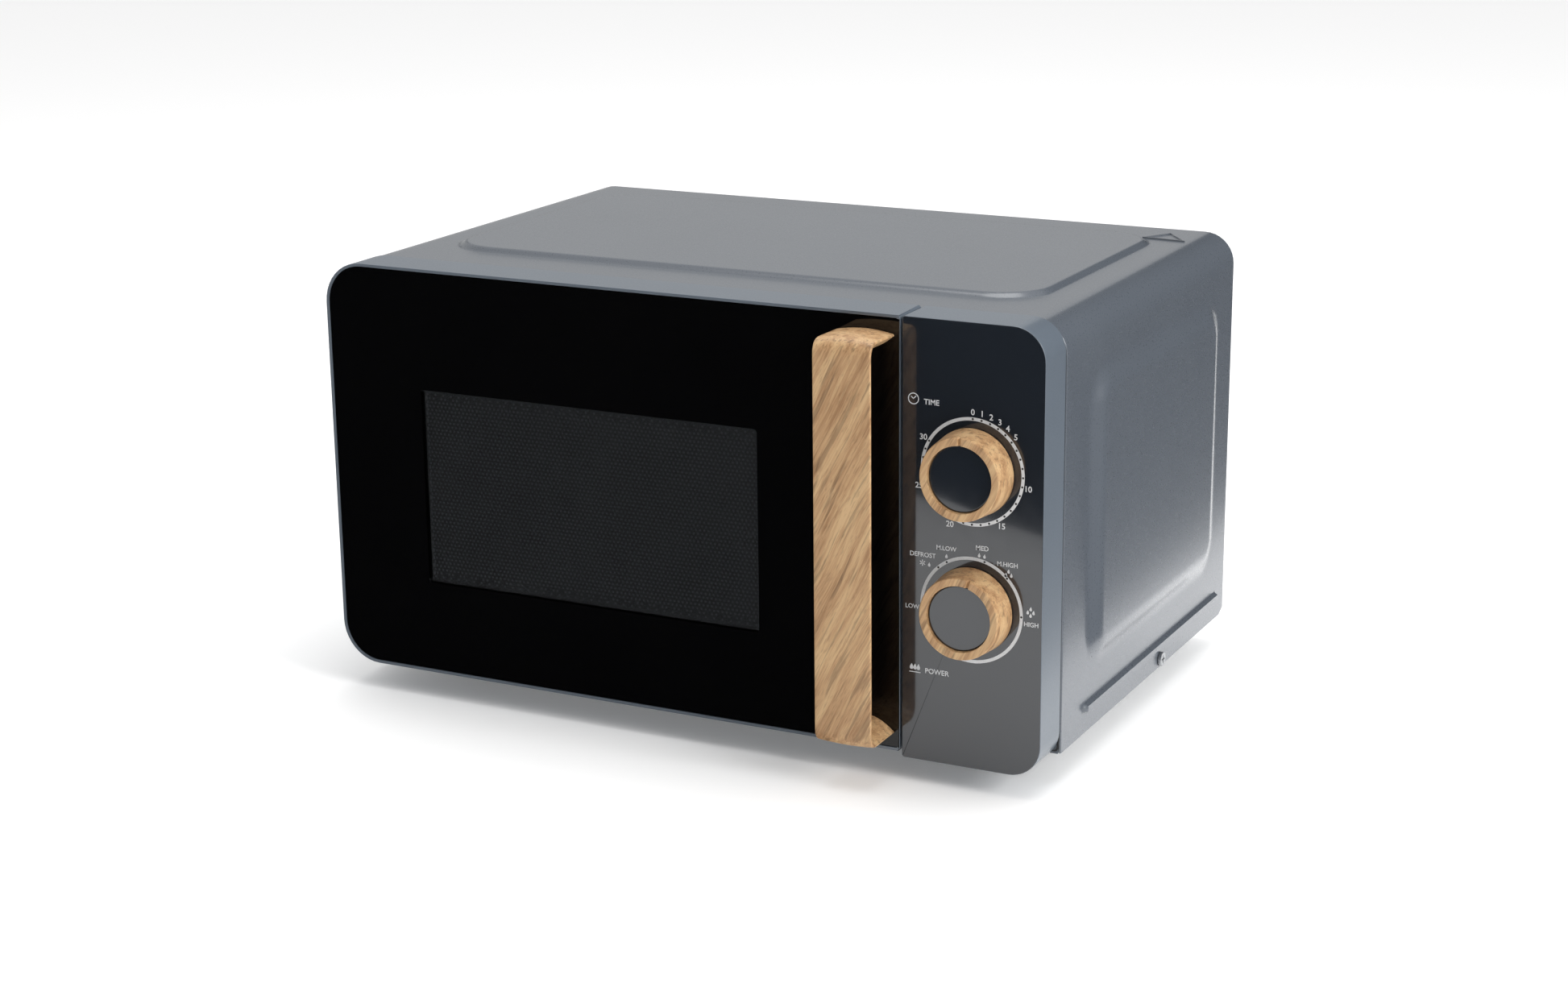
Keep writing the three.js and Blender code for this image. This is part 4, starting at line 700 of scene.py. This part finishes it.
def drop(x, z, height, lean=0.0):
    """A printed drop or flame: round below, pointed above, its tip leaning sideways."""
    points = []
    for i in range(24):
        a = 2 * math.pi * i / 24
        wide = math.sin(a) * math.sin(a / 2) ** 1.4
        tall = math.cos(a)
        points.append((x + height * (0.42 * wide + lean * max(tall, 0)), z + height * tall / 2))
    return filled([points], PRINT_Y)


def dial_print(z, marks):
    """The printed ring round a dial, with a dark dot at each mark."""
    parts = [(filled([ring(knob_x, z, RING_OUTER, 96), ring(knob_x, z, RING_INNER, 96)], PRINT_Y), pale_ink)]
    for degrees in marks:
        a = math.radians(degrees)
        spot = ring(knob_x + DOT_AT * math.sin(a), z + DOT_AT * math.cos(a), DOT, 12)
        parts.append((filled([spot], PRINT_Y - 0.03), dark_ink))
    return parts


def printing():
    """Everything printed on the control panel, as one piece."""
    parts = dial_print(time_z, range(0, 310, 10))
    minute_marks = [(i, 9.4 * i) for i in range(5)]
    minute_marks += [(5, 48.5), (10, 100), (15, 148), (20, 203), (25, 251), (30, 300)]
    for minutes, degrees in minute_marks:
        a = math.radians(degrees)
        x, z = knob_x + NUMBERS_AT * math.sin(a), time_z + NUMBERS_AT * math.cos(a)
        parts.append((lettering(str(minutes), 3.2, x, z), pale_ink))
    parts += dial_print(power_z, (-90, -42, -30, 15, 45, 90))
    base = door_z[0]
    words = [("DEFROST", 152.8, 111.8, 2.6), ("M.LOW", 166.2, 116.8, 2.5), ("MED", 186.3, 119.4, 2.6),
             ("M.HIGH", 200.4, 112.4, 2.5), ("HIGH", 214, 81.8, 2.5), ("LOW", 146.9, 82.8, 2.5),
             ("TIME", 157.4, 194, 2.9), ("POWER", 161.2, 48, 2.9)]
    parts += [(lettering(word, tall, x, base + z), pale_ink) for word, x, z, tall in words]
    flames = [(166.2, 112.6), (184.6, 115.5), (187.6, 115.2), (199.6, 106.9), (202.6, 106.9), (201.1, 108.9),
              (212.0, 88.4), (215.2, 88.4), (213.6, 90.3), (213.6, 86.8), (156.4, 106.8)]
    parts += [(drop(x, base + z, 2.4, 0.06), pale_ink) for x, z in flames]
    parts += [(bar(152.6, base + 107.3, 3.4, 0.45, degrees), pale_ink) for degrees in (0, 60, 120)]
    parts.append((filled([ring(147.2, base + 195, 3.1, 40), ring(147.2, base + 195, 2.6, 40)], PRINT_Y), pale_ink))
    parts += [(bar(146.6, base + 195.5, 1.9, 0.5, -50), pale_ink), (bar(147.9, base + 195.7, 2.2, 0.5, 45), pale_ink)]
    parts.append((bar(148.4, base + 46.4, 6.4, 0.5, 90), pale_ink))
    parts += [(drop(148.4 + dx, base + 49.4, 3.4, 0.05), pale_ink) for dx in (-2, 0, 2)]
    piece("panel_printing", parts, "oven")


printing()


# ---------- dials ----------

NOTCH, NOTCH_DEPTH = 2.7, 1.5  # degrees to either side of the pointer, and millimetres


def dial(prefix, body, z, rest):
    """A wood-effect ring with a pointer notch at `rest` degrees from the top, and its black insert."""
    _, (face, back), _ = extent(prefix + "_knob")
    _, (insert_face, insert_back), _ = extent(prefix + "_knob_insert")
    notch = [math.radians(d) for d in (-3.6, -3.0, -2.4, -1.6, -0.8, 0, 0.8, 1.6, 2.4, 3.0, 3.6)]
    around = notch + [math.radians(3.6 + 352.8 * i / 100) for i in range(1, 100)]
    turn_by = math.radians(rest)
    profile = [(3.3, back), (22.9, back), (23.4, back - 0.5), (22.1, face + 0.7), (21.95, face + 0.25),
               (21.6, face), (18.3, face), (17.9, face + 0.15), (17.8, face + 0.5), (17.8, insert_back + 0.2),
               (3.3, insert_back + 0.2)]
    knob = turned(profile, "y", (knob_x, z), [a + turn_by for a in around])
    middle = place(knob_x, 0, z)
    for v in knob.vertices:
        flat = v.co - middle
        off = math.degrees(math.atan2(flat.x, flat.z)) - rest
        shallow = (v.co.y - place(0, face, 0).y) / MM
        if abs(off) < NOTCH and shallow < 1.0 and math.hypot(flat.x, flat.z) > 17 * MM:
            v.co.y += NOTCH_DEPTH * MM * (1 - (off / NOTCH) ** 2)
    piece(prefix + "_dial", [(knob, oak_veneer)], body, [prefix + "_knob"], crease=35)
    disc = [(0, insert_face), (16.9, insert_face), (17.35, insert_face + 0.15), (17.5, insert_face + 0.5),
            (17.5, insert_back), (0, insert_back)]
    piece(prefix + "_dial_insert", [(turned(disc, "y", (knob_x, z)), insert_abs)], body,
          [prefix + "_knob_insert"], crease=40)


dial("time", "time_dial", time_z, 0)
dial("power", "power_dial", power_z, 15)


# ---------- door ----------

BEZEL = 1.7
WINDOW_X = (door_x[0] + 62.5, door_x[0] + 274.5)
WINDOW_Z = (door_z[0] + 55.5, door_z[0] + 167.5)
SLIM = 1.1  # how much narrower the lip beside the control panel is
HOLE_PITCH, HOLE = 2.6, 0.7


def door_bezel():
    """The door's frame; its lip beside the control panel is slimmer than the other three."""
    mesh = copied("door_frame")
    lip = place(door_x[1] - BEZEL, 0, 0).x
    for v in mesh.vertices:
        if abs(v.co.x - lip) < 0.05 * MM and v.co.y < place(0, 5, 0).y:
            v.co.x += SLIM * MM
    piece("door_bezel", [(rounded(mesh, 0.25, 2), bezel_abs)], "door", ["door_frame"])


door_bezel()


def door_glazing():
    """The door's glass: printed black, with a clear window left in the print."""
    _, (front, back), _ = extent("door_glass")
    lip = BEZEL + 0.3
    outline = plaque(door_x[0] + lip, door_x[1] - lip + SLIM, door_z[0] + lip, door_z[1] - lip,
                     (24 - lip, 0.8, 0.8, 24 - lip), 16)
    clear = plaque(WINDOW_X[0] - 1, WINDOW_X[1] + 1, WINDOW_Z[0] - 1, WINDOW_Z[1] + 1, (2, 2, 2, 2))
    piece("door_glazing", [(filled([outline, clear], front, back), printed_glass),
                           (filled([clear], front, back), window_glass)], "door", ["door_glass"])


def door_plate():
    """The steel plate behind the glass: a folded tray with a field of punched holes."""
    (x0, x1), (y0, y1), (z0, z1) = extent("door_mesh")
    skin = 0.8
    rim = filled([plaque(x0, x1, z0, z1, (6, 6, 6, 6)),
                  plaque(x0 + skin, x1 - skin, z0 + skin, z1 - skin, (5.2, 5.2, 5.2, 5.2))], y0, y1)
    field = [(WINDOW_X[0], WINDOW_Z[0]), (WINDOW_X[1], WINDOW_Z[0]), (WINDOW_X[1], WINDOW_Z[1]),
             (WINDOW_X[0], WINDOW_Z[1])]
    (hx0, hx1), _, _ = extent("handle_screw_lower")
    holes = [ring((hx0 + hx1) / 2, sum(extent("handle_screw_" + end)[2]) / 2, 5.2, 24) for end in ("lower", "upper")]
    plate = filled([plaque(x0 + 0.2, x1 - 0.2, z0 + 0.2, z1 - 0.2, (5.8, 5.8, 5.8, 5.8)), field, *holes], y0, y0 + skin)

    # Holes in staggered rows, one beside each pair below it; every second one is missing from the outer rows.
    across, up = HOLE_PITCH, HOLE_PITCH * math.sqrt(3) / 2
    columns = int((WINDOW_X[1] - WINDOW_X[0]) / across)
    rows = int((WINDOW_Z[1] - WINDOW_Z[0]) / up)
    left = (WINDOW_X[0] + WINDOW_X[1] - across * (columns - 0.5)) / 2
    low = (WINDOW_Z[0] + WINDOW_Z[1] - up * (rows - 1)) / 2
    cell = across / math.sqrt(3)
    points, faces = [], []
    for row in range(rows):
        for column in range(columns):
            cx, cz = left + across * (column + 0.5 * (row % 2)), low + up * row
            start = len(points)
            for reach, depth in ((cell, 0), (HOLE, 0), (HOLE, 0.5)):
                for i in range(6):
                    a = math.radians(60 * i)
                    points.append((cx + reach * math.sin(a), y0 + depth, cz + reach * math.cos(a)))
            if (row in (0, rows - 1) and column % 2) or (row in (1, rows - 2) and column % 3 == 2):
                faces.append(tuple(range(start, start + 6)))
                continue
            for level in (0, 6):
                for i in range(6):
                    j = (i + 1) % 6
                    faces.append((start + level + i, start + level + j, start + level + 6 + j, start + level + 6 + i))
    sheet = fresh_mesh(points, faces)
    edge = filled([field, plaque(left - 1.2, left + across * columns - 0.1, low - 1.1, low + up * (rows - 1) + 1.1,
                                 (0, 0, 0, 0))], y0, y0 + 0.4)
    piece("door_plate", [(rim, black_steel), (plate, black_steel), (edge, black_steel), (sheet, black_steel)],
          "door", ["door_mesh"])
    cover = filled([plaque(WINDOW_X[0] - 6, WINDOW_X[1] + 6, WINDOW_Z[0] - 6, WINDOW_Z[1] + 6, (3, 3, 3, 3))],
                   y0 + 1.1, y0 + 1.35)
    piece("window_film", [(cover, film)], "door")


door_glazing()
door_plate()
piece("door_liner", [(rounded(copied("door_inner_cover"), 0.5, 2), black_abs)], "door",
      ["door_inner_cover"])


# ---------- handle: thin long edges, a full middle, and two legs that bend back into the door ----------

# The bar stands a little to the right of its solid, and reaches a little less far forward.
BAR_LEFT, BAR_RIGHT, BAR_BACK = 2.8, 1.2, 2


def handle():
    """The bar, lofted from side views taken across its width."""
    (x0, x1), (y0, y1), _ = extent("handle")
    x0, x1, y0 = x0 + BAR_LEFT, x1 + BAR_RIGHT, y0 + BAR_BACK
    centre_x, half = (x0 + x1) / 2, (x1 - x0) / 2
    middle = (door_z[0] + door_z[1]) / 2 - 0.3
    edge, bulge, crown = 1.2, 8.8, 1.7

    def leg(y):
        """Height of the upper leg's edge above the middle; it dips a little towards the door."""
        return 109.6 - 0.5 * (y - y0) / (y1 - y0)

    def profile(front, lift, corner):
        """The upper half of a side view, from the door along the leg, round the corner and down the bar."""
        start = (front + corner, leg(front + corner) + lift)
        end = (front, leg(front) + lift - corner)
        turn_at = (front, leg(front) + lift)
        points = [(y1 + (start[0] - y1) * i / 9, leg(y1 + (start[0] - y1) * i / 9) + lift) for i in range(9)]
        for i in range(11):
            t = i / 10
            points.append(tuple((1 - t) ** 2 * a + 2 * t * (1 - t) * b + t * t * c
                                for a, b, c in zip(start, turn_at, end)))
        points += [(front, end[1] * (1 - i / 4)) for i in range(1, 5)]
        return points

    def line(x, front, lift, corner):
        """A whole side view at `x` from the bar's middle line."""
        upper = profile(front, lift, corner)
        lower = [(y, -z) for y, z in reversed(upper[:-1])]
        return [(centre_x + x, y, middle + z) for y, z in upper + lower]

    lines = []
    across = [math.sin(math.radians(90 * i / 10)) for i in range(-10, 11)]
    for u in across:
        full = 1 - u * u
        lines.append(line(u * (half - 0.55), y0, crown * full, 8 + 3 * full))
    lines.append(line(half - 0.2, y0 + 0.18, -0.18, 8))
    lines.append(line(half, y0 + 0.6, -0.5, 7.6))
    lines.append(line(half, y0 + edge, -edge, 7))
    for u in reversed(across):
        full = 1 - u * u
        thick = edge + bulge * full
        lines.append(line(u * (half - 0.3), y0 + thick, -edge - 7.4 * full, 6.8 + 2 * full))
    lines.append(line(-half, y0 + edge, -edge, 7))
    lines.append(line(-half, y0 + 0.6, -0.5, 7.6))
    lines.append(line(0.2 - half, y0 + 0.18, -0.18, 8))
    points = [point for one in lines for point in one]
    length, count = len(lines[0]), len(lines)
    faces = []
    for i in range(count):
        j = (i + 1) % count
        for k in range(length - 1):
            faces.append((i * length + k, j * length + k, j * length + k + 1, i * length + k + 1))
    faces.append([i * length for i in range(count)])
    faces.append([i * length + length - 1 for i in range(count)])
    piece("bar_handle", [(fresh_mesh(points, faces), oak_veneer)], "door", ["handle"], crease=50)


handle()


# ---------- feet, screws and the fittings of the chamber ----------

for place_name in ("front_left", "front_right", "rear_left", "rear_right"):
    (x0, x1), (y0, y1), (z0, z1) = extent("foot_" + place_name)
    foot_centre = ((x0 + x1) / 2, (y0 + y1) / 2)
    foot_profile = [(0, 1.2), (6, 1.2), (7, 0), (10.8, 0), (11.4, 0.5), (12.0, 6), (11.5, 6.5), (11.5, 7.3),
                    (12.2, 7.8), (12.9, 16.6), (12.5, 17.4), (4, 17.4), (4, z1 - 0.6), (3.4, z1), (0, z1)]
    piece("rubber_foot_" + place_name, [(turned(foot_profile, "z", foot_centre, 64), rubber)], "oven",
          ["foot_" + place_name], crease=35)

for screw_name in ("side_screw_left", "side_screw_right", "rear_screw_left", "rear_screw_right"):
    piece(screw_name + "_head", [(rounded(copied(screw_name), 0.25), bright_zinc)], "oven", [screw_name])

for wheel in (1, 2, 3):
    piece(f"wheel_{wheel}_tread", [(rounded(copied(f"roller_{wheel}"), 0.4), nylon)], f"wheel_{wheel}",
          [f"roller_{wheel}"])
piece("roller_carrier", [(rounded(copied("roller_ring"), 0.5), nylon)], "ring", ["roller_ring"])
piece("coupler_hub", [(rounded(copied("turntable_coupler"), 0.4), nylon)], "turntable",
      ["turntable_coupler"])
piece("gland_bush", [(rounded(copied("cord_gland"), 0.4), black_abs)], "oven", ["cord_gland"])
piece("latch_arm", [(rounded(copied("latch_lever"), 0.3), black_abs)], "latch", ["latch_lever"])


def tray():
    """A pressed glass tray with a raised rim, a foot ring and three lugs that the coupler drives."""
    (x0, x1), (y0, y1), (z0, z1) = extent("glass_tray")
    radius = (x1 - x0) / 2
    centre = ((x0 + x1) / 2, (y0 + y1) / 2)
    base = z1 - 11
    profile = [(0, base), (104, base), (radius - 6, base + 3.2), (radius - 2.2, base + 6.6), (radius, base + 9.6),
               (radius - 0.5, base + 10.7), (radius - 2, base + 11), (radius - 3.6, base + 9.6),
               (radius - 8, base + 6.5), (101, base + 5), (99, base + 5.5), (97, base + 5), (0, base + 5)]
    parts = [(turned(profile, "z", centre, 144), tray_glass)]
    for i in range(3):
        a = math.radians(60 + 120 * i)
        block = [(16 + u, v) for u, v in ((-3.5, -3), (3.5, -3), (3.5, 3), (-3.5, 3))]
        corners = [(centre[0] + u * math.cos(a) - v * math.sin(a), centre[1] + u * math.sin(a) + v * math.cos(a))
                   for u, v in block]
        low, high = [(x, y, z0) for x, y in corners], [(x, y, base + 0.2) for x, y in corners]
        sides = [(k, (k + 1) % 4, 4 + (k + 1) % 4, 4 + k) for k in range(4)]
        parts.append((rounded(fresh_mesh(low + high, [(3, 2, 1, 0), (4, 5, 6, 7), *sides]), 0.6), tray_glass))
    piece("pressed_tray", parts, "turntable", ["glass_tray"], crease=35)


tray()


# ---------- finishes of the CAD nodes that stay as they are ----------

finishes = {
    spangled: ["base_plate", "turntable_motor", "waveguide", "transformer_core", "capacitor_clamp", "fan_motor",
               "timer_body"],
    rear_paint: ["rear_panel", "front_frame"],
    chamber: ["cavity_liner"],
    bright_zinc: ["hinge_lower", "hinge_upper", "timer_shaft", "selector_shaft", "handle_screw_lower",
                  "handle_screw_upper"],
    black_abs: ["fan_shroud", "latch_bracket", "switch_primary", "switch_secondary", "switch_monitor",
                "thermal_cutout"],
    nylon: ["fan_blade", "lamp_holder", "plunger_primary", "plunger_secondary", "plunger_monitor"],
    mica: ["waveguide_cover"],
    fins: ["magnetron", "capacitor"],
    windings: ["transformer_coil"],
    bulb_glass: ["lamp_bulb"],
    board: ["noise_filter"],
}
for material, nodes in finishes.items():
    for node in nodes:
        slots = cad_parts[node].material_slots
        for slot in slots:
            slot.material = material


# ---------- studio ----------

FLOOR, FLOOR_GLOW = 20, 0.12
WALL_FRONT, WALL_BACK, WALL_GLOSS = 0.33, 1.15, 0.45


def plain_paper(name, colour, glow):
    """Matt background paper with a barely visible tooth."""
    material, tree, where = begin(name)
    tooth = add_node(tree, "ShaderNodeTexNoise", inputs={"Vector": where, "Scale": per_mm(3), "Detail": 2.0})
    tone = add_node(tree, "ShaderNodeMapRange", inputs={"Value": tooth.outputs["Fac"], "To Min": 0.98, "To Max": 1.0})
    shade = add_node(tree, "ShaderNodeMix", {"data_type": "RGBA", "blend_type": "MULTIPLY"}, {
        "Factor": 1.0, "A": linear(colour), "B": tone.outputs["Result"]})
    surface(tree, add_node(tree, "ShaderNodeBsdfPrincipled", inputs={
        "Base Color": shade.outputs["Result"], "Roughness": 0.9, "Specular IOR Level": 0.1,
        "Emission Color": linear(colour), "Emission Strength": glow}))
    return material


def panel_of_studio(name, corners, material):
    """One flat face that belongs to the studio, not to the oven."""
    mesh = bpy.data.meshes.new(name)
    mesh.from_pydata(corners, [], [range(len(corners))])
    mesh.materials.append(material)
    made = bpy.data.objects.new(name, mesh)
    scene.collection.objects.link(made)
    return made


panel_of_studio("floor", [(-FLOOR, -FLOOR, 0), (FLOOR, -FLOOR, 0), (FLOOR, FLOOR, 0), (-FLOOR, FLOOR, 0)],
                plain_paper("white_paper", "#ffffff", FLOOR_GLOW))

# Black cloth that only glossy surfaces see: it keeps the door's glass dark and gives the sides their fall-off.
black_cloth = plain_paper("black_cloth", "#060606", 0.0)
LOW, HIGH = 0.002, 2.0
FAR, FORWARD, BESIDE = -6, -0.661, -0.137  # where the cards begin and end, in metres, nearing the door
cards = [
    ("card_far", [(FAR, FAR, LOW), (1.5, FAR, LOW), (1.5, 0.102, LOW), (-0.1234, FORWARD, LOW), (FAR, FORWARD, LOW)]),
    ("card_door", [(FAR, FORWARD, LOW), (-0.1234, FORWARD, LOW), (0.118, BESIDE, LOW), (FAR, BESIDE, LOW)]),
    ("card_side", [(0.3, -0.05, LOW), (5, -0.05, LOW), (5, 5, LOW), (0.3, 5, LOW)]),
    ("card_rear", [(-0.3, 2.2, 0.0), (2.5, 1.5, 0.0), (2.5, 1.5, HIGH), (-0.3, 2.2, HIGH)]),
]
for name, corners in cards:
    card = panel_of_studio(name, corners, black_cloth)
    card.visible_camera = False
    card.visible_diffuse = False
    card.visible_shadow = False
    card.visible_transmission = False


def white_room():
    """Even white walls for the eye, dimmer ones for reflections, and less light from the front than the back."""
    world = bpy.data.worlds.new("studio")
    scene.world = world
    world.use_nodes = True
    tree = world.node_tree
    tree.nodes.clear()
    ray = add_node(tree, "ShaderNodeLightPath")
    toward = add_node(tree, "ShaderNodeTexCoord")
    parts = add_node(tree, "ShaderNodeSeparateXYZ", inputs={"Vector": toward.outputs["Generated"]})
    wash = add_node(tree, "ShaderNodeMapRange", inputs={
        "Value": parts.outputs["Y"], "From Min": -0.45, "From Max": 0.35, "To Min": WALL_FRONT, "To Max": WALL_BACK})
    dimmed = add_node(tree, "ShaderNodeMix", {"data_type": "FLOAT"}, {
        "Factor": ray.outputs["Is Glossy Ray"], "A": wash.outputs["Result"], "B": WALL_GLOSS})
    seen = add_node(tree, "ShaderNodeMix", {"data_type": "FLOAT"}, {
        "Factor": ray.outputs["Is Camera Ray"], "A": dimmed.outputs["Result"], "B": 1.0})
    glow = add_node(tree, "ShaderNodeBackground", inputs={"Strength": seen.outputs["Result"]})
    glow.inputs["Color"].default_value = (1, 1, 1, 1)
    add_node(tree, "ShaderNodeOutputWorld", inputs={"Surface": glow.outputs["Background"]})


white_room()


def softbox(name, spot, target, size, power):
    """A rectangular soft light, with its size in metres and its power in watts."""
    light = bpy.data.lights.new(name, "AREA")
    light.shape = "RECTANGLE"
    light.size, light.size_y = size
    light.energy = power
    made = bpy.data.objects.new(name, light)
    made.location = spot
    made.rotation_euler = (Vector(target) - Vector(spot)).to_track_quat("-Z", "Y").to_euler()
    scene.collection.objects.link(made)


softbox("overhead", (0.1, 0.1, 2.2), (0, 0, 0), (1.8, 1.4), 24)
softbox("right", (2.2, -0.5, 1.2), (0.1, -0.1, 0.15), (0.9, 0.9), 30)
